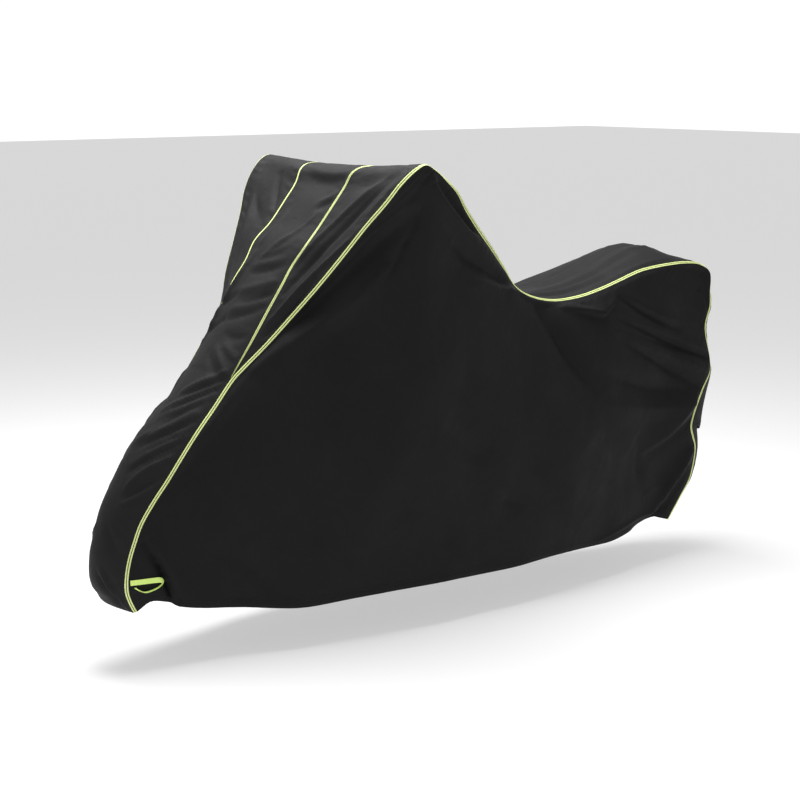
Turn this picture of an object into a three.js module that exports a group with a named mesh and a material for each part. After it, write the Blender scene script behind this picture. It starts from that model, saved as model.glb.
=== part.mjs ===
// A fitted motorcycle cover, hanging in the shape it takes over what it hides.
// Millimetres. The nose points to -Y, the tail to +Y, and +X is the side with the webbing loop.
import * as THREE from 'three';

// Sizes of the cloth and of what is sewn to it
const CLOTH_THICK = 2;
const GAP = 0.4;
const CROSS_GAP = 1.5;
const PIPING_WIDTH = 9.2;
const PIPING_THICK = 3;
const BRANCH_WIDTH = 6.6;
const BRANCH_TIP = 1.2;
const GUSSET_TIP = 0.8;
const LOOP_WIDTH = 13;
const LOOP_THICK = 2;

// The tables give heights above the ground; the part's origin is under the top of the crest
const ORIGIN = new THREE.Vector3(0, 405, 1205);

// Steps along the main seam and across the panels
const STEPS = { nose: 13, chest: 15, crest: 3, top: 32, back: 28 };
const FRONT_COLUMNS = 10;
const FRONT_REFINE = 2;
const GUSSET_COLUMNS = 5;
const BACK_COLUMNS = 8;
const LOOP_STEPS = 24;

// The form is reached this far from a seam, and folds fade out over this much cloth beside it
const FORM_REACH = 130;
const FOLD_FADE = 30;
const WAIST_HEIGHT = 450;
const SHOULDER_HEIGHT = 850;

function table(columns, rows) {
  return rows.map((row) => Object.fromEntries(columns.map((column, k) => [column, row[k]])));
}

// The main seam of one side, from the nose hem over the peak and the dip to the tail hem.
// The tilt turns the piping's face from sideways, 0, to the way the centre panels face, 90.
const SEAM = table(['place', 'x', 'y', 'z', 'tilt'], [
  ['nose hem', 80, -268, 153, 40],
  ['nose crease', 80, -281, 178, 40],
  ['nose low', 80, -290, 204, 40],
  ['nose tip', 80, -291, 235, 40],
  ['nose', 80, -282, 282, 40],
  ['nose high', 83, -266, 331, 42],
  ['brow low', 87, -251, 370, 45],
  ['brow', 93, -219, 421, 45],
  ['brow high', 99, -182, 470, 45],
  ['throat low', 103, -133, 536, 45],
  ['throat', 105, -95, 584, 45],
  ['throat high', 103, -44, 639, 45],
  ['junction', 104, 12, 704, 45],
  ['fork', 111, 38, 730, 44],
  ['chest low', 128, 93, 783, 42],
  ['chest', 159, 152, 855, 42],
  ['chest high', 205, 199, 930, 42],
  ['shoulder', 240, 246, 1001, 42],
  ['shoulder high', 275, 294, 1076, 42],
  ['arm', 309, 332, 1135, 44],
  ['arm high', 325, 367, 1182, 48],
  ['peak front', 335, 403, 1214, 60],
  ['peak', 338, 430, 1226, 75],
  ['peak back', 330, 468, 1213, 64],
  ['fall high', 312, 520, 1185, 44],
  ['fall one', 292, 576, 1149, 26],
  ['fall two', 272, 621, 1105, 12],
  ['fall three', 238, 703, 1036, 5],
  ['fall four', 218, 751, 999, 8],
  ['fall low', 192, 825, 933, 26],
  ['dip front', 172, 884, 878, 50],
  ['dip low', 158, 952, 845, 56],
  ['dip', 150, 1046, 825, 56],
  ['dip back', 152, 1147, 829, 54],
  ['rise low', 156, 1221, 844, 52],
  ['rise', 151, 1303, 863, 50],
  ['rise high', 147, 1389, 884, 50],
  ['pad', 149, 1450, 892, 50],
  ['pad high', 150, 1510, 896, 50],
  ['pad back', 150, 1571, 897, 50],
  ['tail top', 147, 1640, 888, 58],
  ['tail', 147, 1684, 861, 66],
  ['back high', 147, 1690, 800, 38],
  ['back one', 147, 1692, 760, 22],
  ['back pinch', 147, 1673, 698, 26],
  ['back two', 150, 1693, 600, 46],
  ['back three', 150, 1696, 562, 34],
  ['back four', 154, 1660, 508, 18],
  ['back five', 160, 1618, 437, 16],
  ['back waist', 164, 1605, 404, 16],
  ['back six', 158, 1621, 370, 18],
  ['back seven', 150, 1640, 335, 22],
  ['back eight', 144, 1638, 276, 22],
  ['back nine', 140, 1628, 235, 22],
  ['back low', 138, 1592, 186, 26],
  ['tail hem', 135, 1546, 124, 30],
]);

// The branch seam, from the junction up the front and over the crest to the cross seam
const BRANCH = table(['place', 'x', 'y', 'z', 'tilt'], [
  ['chest low', 101, 68, 790, 58],
  ['chest', 103, 120, 867, 66],
  ['chest high', 106, 159, 925, 71],
  ['shoulder', 103, 193, 971, 75],
  ['shoulder high', 112, 228, 1019, 78],
  ['arm', 106, 275, 1065, 80],
  ['arm high', 106, 320, 1118, 80],
  ['crest low', 107, 358, 1165, 80],
  ['crest front', 112, 376, 1197, 80],
  ['crest', 117, 396, 1210, 80],
  ['crest back', 121, 424, 1214, 80],
  ['over', 124, 455, 1211, 80],
  ['cross seam', 125, 484, 1201, 80],
]);

// How far the centre panels stand out between their seams, and how square that crown is
const CROWN = table(['place', 'out', 'square'], [
  ['nose hem', 4, 2.2],
  ['nose crease', 25, 2.3],
  ['nose low', 33, 2.4],
  ['nose tip', 39, 2.4],
  ['nose', 48, 2.3],
  ['nose high', 49, 2.3],
  ['brow', 54, 2.4],
  ['brow high', 60, 2.4],
  ['throat low', 57, 2.4],
  ['throat', 42, 2.3],
  ['junction', 30, 2.2],
  ['peak back', -10, 2],
  ['fall high', -20, 2],
  ['fall one', -12, 2],
  ['fall three', -4, 2],
  ['dip front', 14, 2],
  ['dip low', 12, 2],
  ['dip', 10, 2.1],
  ['dip back', 6, 2.1],
  ['rise low', 3, 2.2],
  ['rise', 8, 2.2],
  ['rise high', 26, 2.3],
  ['pad', 42, 2.3],
  ['pad high', 44, 2.3],
  ['pad back', 20, 2.3],
  ['tail top', 4, 2.2],
  ['tail', 8, 3],
  ['back high', 34, 6],
  ['back one', 38, 6],
  ['back pinch', 41, 6],
  ['back two', 30, 5],
  ['back three', 44, 6],
  ['back four', 70, 6],
  ['back five', 100, 6],
  ['back waist', 100, 6],
  ['back six', 76, 6],
  ['back seven', 53, 6],
  ['back eight', 49, 6],
  ['back nine', 42, 5],
  ['back low', 26, 3],
  ['tail hem', 6, 2],
]);
const BRANCH_CROWN = table(['place', 'out', 'square'], [
  ['chest low', 22, 2],
  ['shoulder', 12, 2],
  ['crest', -3, 2],
  ['cross seam', 0, 2],
]);

// Half widths of the side panels: at the hem, at the waist and at the shoulder
const GIRTH = table(['y', 'hem', 'hemHeight', 'waist', 'shoulder'], [
  [-268, 80, 153, 80, 80],
  [-235, 96, 178, 104, 104],
  [-200, 107, 174, 120, 122],
  [-160, 116, 156, 134, 140],
  [0, 141, 130, 178, 190],
  [170, 185, 112, 228, 245],
  [443, 226, 117, 268, 300],
  [608, 240, 119, 274, 296],
  [730, 240, 115, 270, 275],
  [1030, 220, 118, 252, 225],
  [1228, 186, 111, 226, 196],
  [1336, 166, 119, 206, 182],
  [1489, 142, 141, 176, 162],
  [1546, 135, 124, 166, 157],
]);

// Folds of the side panels, on lines in the side view; side 1 is the loop's side, -1 the other, 0 both
const FOLD_COLUMNS = ['side', 'y0', 'z0', 'y1', 'z1', 'bow', 'width', 'out'];
const SIDE_FOLDS = table(FOLD_COLUMNS, [
  [1, 436, 1112, 130, 800, -12, 28, -16],
  [1, 372, 985, 44, 722, 11, 32, 13],
  [1, 452, 1210, 700, 1014, -20, 26, 18],
  [1, 560, 1030, 822, 888, -3, 34, -16],
  [1, 1040, 808, 1208, 776, 1, 24, 13],
  [1, 962, 828, 1158, 556, -15, 42, -17],
  [1, 1010, 800, 1250, 560, -20, 44, 8],
  [1, 1270, 822, 1600, 680, -9, 28, -10],
  [1, 1330, 720, 1690, 545, 0, 30, 9],
  [1, 1640, 500, 1372, 352, 18, 34, 15],
  [1, 1330, 400, 1570, 210, 0, 60, -13],
  [1, 1650, 320, 1465, 130, 10, 32, 14],
  [1, -262, 350, -172, 150, 12, 26, -18],
  [1, -215, 380, -100, 150, 12, 34, 12],
  [1, 470, 1180, 330, 150, 30, 60, 9],
  [1, 640, 900, 720, 140, -40, 70, -10],
  [-1, 400, 1130, 20, 640, 12, 30, -15],
  [-1, 440, 1040, 110, 560, 10, 42, 13],
  [-1, 455, 1210, 850, 880, -14, 28, 18],
  [-1, 560, 1000, 900, 700, 20, 46, -15],
  [-1, 960, 840, 1210, 420, -25, 44, -14],
  [-1, 1040, 790, 1330, 440, -20, 44, 9],
  [-1, 1260, 800, 1680, 640, 0, 32, -10],
  [-1, 1330, 700, 1690, 520, 0, 32, 10],
  [-1, 1400, 420, 1640, 260, 0, 46, -12],
  [-1, 1650, 300, 1450, 140, 10, 32, 13],
  [-1, -255, 340, -150, 150, 12, 28, -15],
  [-1, 460, 1180, 260, 160, 30, 60, 10],
  [-1, 760, 880, 800, 150, -30, 60, -9],
]);

// Folds of the front, on lines in the front view
const FRONT_FOLDS = table(['side', 'x0', 'z0', 'x1', 'z1', 'bow', 'width', 'out'], [
  [0, -80, 200, 80, 196, -22, 20, -8],
  [1, 4, 392, 98, 472, 5, 19, 9],
  [1, 4, 466, 102, 552, 6, 19, 10],
  [1, 4, 542, 106, 634, 6, 20, 10],
  [1, 4, 616, 104, 706, 6, 20, 9],
  [-1, 60, 432, 98, 476, 2, 16, 6],
  [-1, 60, 506, 102, 556, 2, 16, 7],
  [-1, 60, 584, 104, 638, 2, 16, 7],
  [-1, 60, 660, 104, 708, 2, 16, 6],
  [0, -110, 1166, 110, 1168, -10, 26, -9],
  [1, -50, 950, 100, 990, -6, 24, -8],
  [1, -60, 860, 98, 920, -6, 22, -8],
  [1, 10, 806, 104, 766, 6, 22, -8],
  [-1, 104, 1020, 100, 830, 6, 22, 8],
  [1, 268, 1206, 106, 956, -14, 16, 11],
  [1, 294, 1208, 120, 900, -13, 17, -14],
  [1, 264, 1066, 112, 826, -7, 15, 9],
  [-1, 320, 1205, 150, 900, 14, 24, 9],
  [-1, 300, 1200, 150, 1060, 8, 22, -9],
  [-1, 280, 1100, 130, 850, -8, 24, -8],
]);

// Folds of the panel over the top and down the tail: half width against distance along the seam
const BACK_FOLDS = table(['side', 'x0', 's0', 'x1', 's1', 'bow', 'width', 'out'], [
  [0, 220, 1480, -120, 1960, 30, 46, -14],
  [0, -210, 1560, 60, 2020, 30, 44, 12],
  [0, -130, 2180, 130, 2420, 12, 40, 6],
  [0, -150, 2860, 140, 3000, 10, 34, -10],
  [0, -150, 3020, 140, 3140, 10, 34, 9],
  [0, -130, 3300, 130, 3420, 10, 34, -9],
]);

// Long slow swells that leave no panel even
const SWELLS = table(['alongWave', 'upWave', 'turn', 'out'], [
  [610, 900, 0.6, 5],
  [370, 520, 2.1, 3],
  [230, 340, 4.0, 1.6],
]);

// The webbing loop, from the piping along its upper limb, round and back along its lower limb
const LOOP = table(['x', 'y', 'z', 'roll'], [
  [88.5, -285, 230.5, 0],
  [97, -267, 231.5, 0],
  [105, -246, 232.5, 3],
  [111, -227, 233, 8],
  [114.5, -215, 232, 30],
  [116, -209, 226.5, 66],
  [113.5, -217, 217.5, 82],
  [109, -236, 209, 86],
  [104.5, -254, 206, 84],
  [100, -267, 211, 80],
  [96, -276.5, 218.5, 76],
]);

const cloth = new THREE.MeshStandardMaterial({ color: 0x26272a, roughness: 0.62, metalness: 0, side: THREE.DoubleSide });
const piping = new THREE.MeshStandardMaterial({ color: 0xc6dc5a, roughness: 0.5, metalness: 0 });
const webbing = new THREE.MeshStandardMaterial({ color: 0x9bdc2c, roughness: 0.7, metalness: 0 });

const clamp = (value, low = 0, high = 1) => Math.min(high, Math.max(low, value));
const degrees = (value) => (value * Math.PI) / 180;

// A smooth curve through a table's places, read by distance along it
class Route {
  constructor(rows) {
    this.rows = rows;
    const points = rows.map((row) => new THREE.Vector3(row.x, row.y, row.z));
    this.curve = new THREE.CatmullRomCurve3(points, false, 'centripetal');
    this.fine = 24;
    this.curve.arcLengthDivisions = this.fine * (rows.length - 1);
    this.lengths = this.curve.getLengths();
    this.length = this.lengths[this.lengths.length - 1];
  }

  reach(place) {
    return this.lengths[this.fine * this.rows.findIndex((row) => row.place === place)];
  }

  point(distance) {
    return this.curve.getPointAt(clamp(distance / this.length));
  }

  tilt(distance) {
    const index = this.curve.getUtoTmapping(clamp(distance / this.length)) * (this.rows.length - 1);
    const low = Math.min(Math.floor(index), this.rows.length - 2);
    const { tilt: from } = this.rows[low];
    return THREE.MathUtils.lerp(from, this.rows[low + 1].tilt, index - low);
  }
}

// Distances from one place to another, closer together at an end whose ease is above zero
function spaced(from, to, steps, easeFrom = 0, easeTo = 0) {
  return Array.from({ length: steps + 1 }, (_, k) => {
    const t = k / steps;
    const dip = t * t - t;
    return from + (to - from) * (t + easeFrom * dip * (1 - t) - easeTo * dip * t);
  });
}

// At each distance: the point, the way the piping faces, the way across it to the side panel,
// and the way the centre panel faces
function seamFrames(route, distances) {
  const points = distances.map((distance) => route.point(distance));
  return points.map((point, k) => {
    const before = points[Math.max(k - 1, 0)];
    const after = points[Math.min(k + 1, points.length - 1)];
    const along = after.clone().sub(before).normalize();
    const front = new THREE.Vector3(0, -along.z, along.y).normalize();
    const tilt = degrees(route.tilt(distances[k]));
    const face = new THREE.Vector3(Math.cos(tilt), 0, 0).addScaledVector(front, Math.sin(tilt));
    face.addScaledVector(along, -face.dot(along)).normalize();
    const across = along.clone().cross(face);
    return { point, face, across, front, distance: distances[k] };
  });
}

// A straight reading between rows, by any rising column
function readTable(rows, key, column, value) {
  if (value <= rows[0][key]) return rows[0][column];
  for (let k = 1; k < rows.length; k += 1) {
    if (value <= rows[k][key]) {
      const t = (value - rows[k - 1][key]) / (rows[k][key] - rows[k - 1][key]);
      return THREE.MathUtils.lerp(rows[k - 1][column], rows[k][column], t);
    }
  }
  return rows[rows.length - 1][column];
}

// A smooth reading through rows
function readSmooth(rows, key, column, value) {
  const last = rows.length - 1;
  const x = clamp(value, rows[0][key], rows[last][key]);
  let k = 0;
  while (k < last - 1 && x > rows[k + 1][key]) k += 1;
  const span = rows[k + 1][key] - rows[k][key];
  const slope = (at) => {
    const low = Math.max(at - 1, 0);
    const high = Math.min(at + 1, last);
    return (rows[high][column] - rows[low][column]) / (rows[high][key] - rows[low][key]);
  };
  const t = (x - rows[k][key]) / span;
  const t2 = t * t;
  const t3 = t2 * t;
  return (2 * t3 - 3 * t2 + 1) * rows[k][column] + (t3 - 2 * t2 + t) * span * slope(k)
    + (3 * t2 - 2 * t3) * rows[k + 1][column] + (t3 - t2) * span * slope(k + 1);
}

// How far one fold lifts the cloth at a place in its own view
function foldLift(fold, from, to, place) {
  const run = [to[0] - from[0], to[1] - from[1]];
  const length = Math.hypot(run[0], run[1]);
  const off = [place[0] - from[0], place[1] - from[1]];
  const t = (off[0] * run[0] + off[1] * run[1]) / (length * length);
  if (t <= 0 || t >= 1) return 0;
  const away = (off[1] * run[0] - off[0] * run[1]) / length - fold.bow * 4 * t * (1 - t);
  return fold.out * Math.exp(-((away / fold.width) ** 2)) * Math.sin(Math.PI * t) ** 0.6;
}

function foldSum(folds, side, keys, place) {
  const [a0, b0, a1, b1] = keys;
  let sum = 0;
  for (const fold of folds) {
    if (fold.side === 0 || fold.side === side) {
      sum += foldLift(fold, [fold[a0], fold[b0]], [fold[a1], fold[b1]], place);
    }
  }
  return sum;
}

function swell(along, up, side) {
  let sum = 0;
  for (const wave of SWELLS) {
    sum += wave.out * Math.sin(along / wave.alongWave * 2 * Math.PI + wave.turn * side)
      * Math.cos(up / wave.upWave * 2 * Math.PI + wave.turn);
  }
  return sum;
}

// The seams and the places along them that the panels share
const mainRoute = new Route(SEAM);
const reaches = ['nose hem', 'junction', 'peak', 'tail', 'tail hem'].map((place) => mainRoute.reach(place));
const mainDistances = [
  ...spaced(reaches[0], reaches[1], STEPS.nose).slice(0, -1),
  ...spaced(reaches[1], reaches[2], STEPS.chest, 0, 0.7).slice(0, -1),
  ...spaced(reaches[2], reaches[3], STEPS.top, 0.7, 0.4).slice(0, -1),
  ...spaced(reaches[3], reaches[4], STEPS.back, 0.3, 0),
];
const mainSeam = seamFrames(mainRoute, mainDistances);
const JUNCTION = STEPS.nose;
const PEAK = STEPS.nose + STEPS.chest;
const CROSS = PEAK + STEPS.crest;
const TAIL = PEAK + STEPS.top;

// The branch starts beside the main piping, past the gusset's tip
const rootOffset = PIPING_WIDTH / 2 + GUSSET_TIP + 2 * GAP + BRANCH_TIP / 2;
const root = mainSeam[JUNCTION].point.clone().addScaledVector(mainSeam[JUNCTION].across, -rootOffset);
const { tilt: rootTilt } = SEAM.find((row) => row.place === 'junction');
const rootRow = { place: 'junction', x: root.x, y: root.y, z: root.z, tilt: rootTilt };
const branchRoute = new Route([rootRow, ...BRANCH]);
const branchSteps = STEPS.chest + STEPS.crest;
const branchSeam = seamFrames(branchRoute, spaced(0, branchRoute.length, branchSteps, 0, 0.6));
branchSeam[0].face = mainSeam[JUNCTION].face.clone();
branchSeam[0].across = mainSeam[JUNCTION].across.clone();
const branchWidth = (k) => THREE.MathUtils.lerp(BRANCH_TIP, BRANCH_WIDTH, clamp(k / 3));

const crownRows = CROWN.map((row) => ({ ...row, distance: mainRoute.reach(row.place) }));
const branchCrownRows = [
  { ...CROWN.find((row) => row.place === 'junction'), distance: 0 },
  ...BRANCH_CROWN.map((row) => ({ ...row, distance: branchRoute.reach(row.place) })),
];

// One closed sheet from a grid of middle points and the way each faces
function sheet(name, grid, faces, material) {
  const rows = grid.length;
  const columns = grid[0].length;
  const positions = [];
  for (const side of [0.5, -0.5]) {
    for (let i = 0; i < rows; i += 1) {
      for (let j = 0; j < columns; j += 1) {
        const point = grid[i][j].clone().addScaledVector(faces[i][j], side * CLOTH_THICK).sub(ORIGIN);
        positions.push(point.x, point.y, point.z);
      }
    }
  }
  const middle = [Math.floor(rows / 2), Math.floor(columns / 2)];
  const flip = gridNormal(grid, middle[0], middle[1]).dot(faces[middle[0]][middle[1]]) < 0;
  const indices = [];
  const triangle = (a, b, c) => indices.push(...(flip ? [a, c, b] : [a, b, c]));
  const at = (i, j) => i * columns + j;
  const under = rows * columns;
  for (let i = 0; i < rows - 1; i += 1) {
    for (let j = 0; j < columns - 1; j += 1) {
      const corners = [at(i, j), at(i + 1, j), at(i + 1, j + 1), at(i, j + 1)];
      const oneWay = grid[i][j].distanceTo(grid[i + 1][j + 1]) <= grid[i + 1][j].distanceTo(grid[i][j + 1]);
      const [a, b, c, d] = oneWay ? corners : [corners[1], corners[2], corners[3], corners[0]];
      triangle(a, b, c);
      triangle(a, c, d);
      triangle(under + a, under + c, under + b);
      triangle(under + a, under + d, under + c);
    }
  }
  const rim = [];
  for (let i = 0; i < rows - 1; i += 1) rim.push(at(i, 0));
  for (let j = 0; j < columns - 1; j += 1) rim.push(at(rows - 1, j));
  for (let i = rows - 1; i > 0; i -= 1) rim.push(at(i, columns - 1));
  for (let j = columns - 1; j > 0; j -= 1) rim.push(at(0, j));
  rim.forEach((a, k) => {
    const b = rim[(k + 1) % rim.length];
    triangle(a, under + a, under + b);
    triangle(a, under + b, b);
  });
  return meshOf(name, positions, indices, material);
}

// One closed strip with a four-cornered section at each step
function strip(name, sections, material) {
  const positions = sections.flatMap((section) => section.flatMap((p) => {
    const point = p.clone().sub(ORIGIN);
    return [point.x, point.y, point.z];
  }));
  const indices = [];
  const last = (sections.length - 1) * 4;
  indices.push(0, 2, 1, 0, 3, 2, last, last + 1, last + 2, last, last + 2, last + 3);
  for (let k = 0; k < sections.length - 1; k += 1) {
    for (let corner = 0; corner < 4; corner += 1) {
      const a = k * 4 + corner;
      const b = k * 4 + ((corner + 1) % 4);
      indices.push(a, b, b + 4, a, b + 4, a + 4);
    }
  }
  return meshOf(name, positions, indices, material);
}

function meshOf(name, positions, indices, material) {
  const geometry = new THREE.BufferGeometry();
  geometry.setAttribute('position', new THREE.Float32BufferAttribute(positions, 3));
  geometry.setIndex(indices);
  geometry.computeVertexNormals();
  const mesh = new THREE.Mesh(geometry, material);
  mesh.name = name;
  return mesh;
}

function gridNormal(grid, i, j) {
  const rows = grid.length - 1;
  const columns = grid[0].length - 1;
  const down = grid[Math.min(i + 1, rows)][j].clone().sub(grid[Math.max(i - 1, 0)][j]);
  const right = grid[i][Math.min(j + 1, columns)].clone().sub(grid[i][Math.max(j - 1, 0)]);
  return down.cross(right).normalize();
}

const mirrored = (point) => new THREE.Vector3(-point.x, point.y, point.z);
const onSide = (side, point) => (side > 0 ? point.clone() : mirrored(point));
const edgeOf = (frame, width, way) => frame.point.clone().addScaledVector(frame.across, way * (width / 2 + GAP));

// The side panel of one side
function sidePanel(side) {
  const edge = mainSeam.map((frame) => edgeOf(frame, PIPING_WIDTH, 1));
  const left = edge.slice(0, PEAK + 1);
  const top = edge.slice(PEAK, TAIL + 1);
  const right = edge.slice(TAIL).reverse();
  const hemPoints = GIRTH.map((row) => new THREE.Vector3(row.hem, row.y, row.hemHeight));
  hemPoints[0] = left[0];
  hemPoints[hemPoints.length - 1] = right[0];
  const hem = new THREE.CatmullRomCurve3(hemPoints, false, 'centripetal').getSpacedPoints(STEPS.top);
  const grid = hem.map((_, i) => left.map((__, j) => {
    const u = i / STEPS.top;
    const v = j / PEAK;
    const point = new THREE.Vector3();
    point.addScaledVector(hem[i], 1 - v).addScaledVector(top[i], v);
    point.addScaledVector(left[j], 1 - u).addScaledVector(right[j], u);
    point.addScaledVector(left[0], -(1 - u) * (1 - v)).addScaledVector(right[0], -u * (1 - v));
    point.addScaledVector(top[0], -(1 - u) * v).addScaledVector(top[STEPS.top], -u * v);
    return point;
  }));
  const seamLine = edge.map((point) => [point.y, point.z]);
  const fromSeam = (point) => Math.min(...seamLine.map(([y, z]) => Math.hypot(point.y - y, point.z - z)));
  const away = grid.map((row) => row.map(fromSeam));
  grid.forEach((row, i) => row.forEach((point, j) => {
    const share = 1 - Math.exp(-away[i][j] / FORM_REACH);
    point.x += (formWidth(point) - point.x) * share;
  }));
  const smooth = grid.map((row, i) => row.map((_, j) => outward(gridNormal(grid, i, j), 1)));
  grid.forEach((row, i) => row.forEach((point, j) => {
    const fade = clamp(away[i][j] / FOLD_FADE);
    const lift = foldSum(SIDE_FOLDS, side, ['y0', 'z0', 'y1', 'z1'], [point.y, point.z])
      + swell(point.y, point.z, side);
    point.addScaledVector(smooth[i][j], lift * fade);
  }));
  const faces = grid.map((row, i) => row.map((_, j) => outward(gridNormal(grid, i, j), 1)));
  const seamFace = (i, j) => {
    if (i === 0) return mainSeam[j].face;
    if (i === STEPS.top) return mainSeam[mainSeam.length - 1 - j].face;
    return j === PEAK ? mainSeam[PEAK + i].face : null;
  };
  const turned = grid.map((row, i) => row.map((point) => onSide(side, point)));
  const turnedFaces = faces.map((row, i) => row.map((face, j) => onSide(side, seamFace(i, j) ?? face)));
  return sheet(side > 0 ? 'side_panel_left' : 'side_panel_right', turned, turnedFaces, cloth);
}

const outward = (normal, sign) => (normal.x * sign < 0 ? normal.negate() : normal);

// The half width of what the side panels lie over, by the height
function formWidth(point) {
  const read = (column) => readSmooth(GIRTH, 'y', column, point.y);
  const heights = [read('hemHeight'), WAIST_HEIGHT, SHOULDER_HEIGHT];
  const widths = [read('hem'), read('waist'), read('shoulder')];
  return widths.reduce((sum, width, k) => {
    const others = heights.filter((_, other) => other !== k);
    return sum + others.reduce((part, other) => part * (point.z - other) / (heights[k] - other), width);
  }, 0);
}

// One cross section of a centre panel between a seam and its mirror image
function centreRow(frame, width, out, square, columns) {
  const edge = edgeOf(frame, width, -1);
  return Array.from({ length: columns + 1 }, (_, j) => {
    const even = (2 * j) / columns - 1;
    const c = 0.65 * even + 0.35 * Math.sin((even * Math.PI) / 2);
    const point = new THREE.Vector3(edge.x * c, edge.y, edge.z);
    return point.addScaledVector(frame.front, out * (1 - Math.abs(c) ** square));
  });
}

// Rows between rows, whose ends stay on the straight line between their neighbours' ends
function refineRows(frames, times) {
  const rows = [];
  frames.forEach((frame, k) => {
    const next = frames[k + 1];
    const count = next ? times : 1;
    for (let step = 0; step < count; step += 1) {
      const t = step / times;
      const mix = (key) => (next ? frame[key].clone().lerp(next[key], t) : frame[key].clone());
      rows.push({
        point: mix('point'),
        face: mix('face').normalize(),
        across: mix('across'),
        front: mix('front').normalize(),
        distance: next ? THREE.MathUtils.lerp(frame.distance, next.distance, t) : frame.distance,
      });
    }
  });
  return rows;
}

function finishCentre(name, rows, frames, lift) {
  const columns = rows[0].length - 1;
  rows.forEach((row, i) => row.forEach((point, j) => {
    const fade = 1 - Math.abs((2 * j) / columns - 1) ** 6;
    point.addScaledVector(frames[i].front, fade * lift(point, frames[i]));
  }));
  const faces = rows.map((row, i) => row.map((_, j) => {
    if (j === 0) return mirrored(frames[i].face);
    if (j === columns) return frames[i].face;
    const normal = gridNormal(rows, i, j);
    return normal.dot(frames[i].front) < 0 ? normal.negate() : normal;
  }));
  return sheet(name, rows, faces, cloth);
}

// The front panel, up the nose and between the branch seams to the cross seam
function frontPanel() {
  const low = refineRows(mainSeam.slice(0, JUNCTION + 1), FRONT_REFINE).slice(0, -1);
  const crownAt = (rows, frame, column) => readTable(rows, 'distance', column, frame.distance);
  const lowRows = low.map((frame) => centreRow(frame, PIPING_WIDTH, crownAt(crownRows, frame, 'out'),
    crownAt(crownRows, frame, 'square'), FRONT_COLUMNS));
  const highRows = branchSeam.map((frame, k) => centreRow(frame, branchWidth(k),
    crownAt(branchCrownRows, frame, 'out'), crownAt(branchCrownRows, frame, 'square'), FRONT_COLUMNS));
  const lift = (point) => foldSum(FRONT_FOLDS, Math.sign(point.x) || 1, ['x0', 'z0', 'x1', 'z1'],
    [Math.abs(point.x), point.z]);
  return finishCentre('front_panel', [...lowRows, ...highRows], [...low, ...branchSeam], lift);
}

// The panel from the cross seam over the dip and the tail to the tail hem
function topPanel() {
  const frames = mainSeam.slice(CROSS);
  const rows = frames.map((frame) => centreRow(frame, PIPING_WIDTH,
    readTable(crownRows, 'distance', 'out', frame.distance),
    readTable(crownRows, 'distance', 'square', frame.distance), BACK_COLUMNS));
  const lift = (point, frame) => foldSum(BACK_FOLDS, 0, ['x0', 's0', 'x1', 's1'], [point.x, frame.distance]);
  rows[0] = crossRow();
  return finishCentre('top_panel', rows, frames, lift);
}

// The top panel's front edge follows the ends of the front panel and the gussets
function crossRow() {
  const onward = (from, to) => from.clone().addScaledVector(to.clone().sub(from).normalize(), CROSS_GAP);
  const outer = onward(edgeOf(mainSeam[CROSS], PIPING_WIDTH, -1), edgeOf(mainSeam[CROSS + 1], PIPING_WIDTH, -1));
  const last = branchSeam[branchSteps].point;
  const inner = onward(last, last.clone().multiplyScalar(2).sub(branchSeam[branchSteps - 1].point));
  const halfWidths = [0, inner.x - BRANCH_WIDTH, inner.x + BRANCH_WIDTH, (inner.x + outer.x) / 2, outer.x];
  const half = BACK_COLUMNS / 2;
  return Array.from({ length: BACK_COLUMNS + 1 }, (_, j) => {
    const x = Math.sign(j - half) * halfWidths[Math.abs(j - half)];
    const t = clamp((Math.abs(x) - inner.x) / (outer.x - inner.x));
    return new THREE.Vector3(x, THREE.MathUtils.lerp(inner.y, outer.y, t),
      THREE.MathUtils.lerp(inner.z, outer.z, t));
  });
}

// The gusset between the branch seam and the main seam
function gusset(side) {
  const inner = branchSeam.map((frame, k) => edgeOf(frame, branchWidth(k), 1));
  const outer = branchSeam.map((_, k) => edgeOf(mainSeam[JUNCTION + k], PIPING_WIDTH, -1));
  const rows = inner.map((point, k) => Array.from({ length: GUSSET_COLUMNS + 1 }, (_, j) => {
    const t = j / GUSSET_COLUMNS;
    const place = point.clone().lerp(outer[k], t);
    const fade = clamp((Math.min(t, 1 - t) * point.distanceTo(outer[k])) / FOLD_FADE);
    const lift = foldSum(FRONT_FOLDS, side, ['x0', 'z0', 'x1', 'z1'], [place.x, place.z]);
    return place.addScaledVector(branchSeam[k].front, lift * fade);
  }));
  const faces = rows.map((row, k) => row.map((_, j) => {
    if (j === 0) return branchSeam[k].face;
    if (j === GUSSET_COLUMNS) return mainSeam[JUNCTION + k].face;
    const normal = gridNormal(rows, k, j);
    return normal.dot(branchSeam[k].front) < 0 ? normal.negate() : normal;
  }));
  const turn = (lists) => lists.map((row) => row.map((item) => onSide(side, item)));
  return sheet(side > 0 ? 'gusset_left' : 'gusset_right', turn(rows), turn(faces), cloth);
}

// Piping along a seam, standing a little proud of the cloth on both sides
function pipingStrip(name, side, frames, widthAt) {
  const sections = frames.map((frame, k) => {
    const half = widthAt(k) / 2;
    const corners = [[-half, -1], [half, -1], [half, 1], [-half, 1]];
    const section = corners.map(([across, out]) => frame.point.clone()
      .addScaledVector(frame.across, across)
      .addScaledVector(frame.face, (out * PIPING_THICK) / 2));
    return side > 0 ? section.reverse() : section.map(mirrored);
  });
  return strip(name, sections, piping);
}

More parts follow.
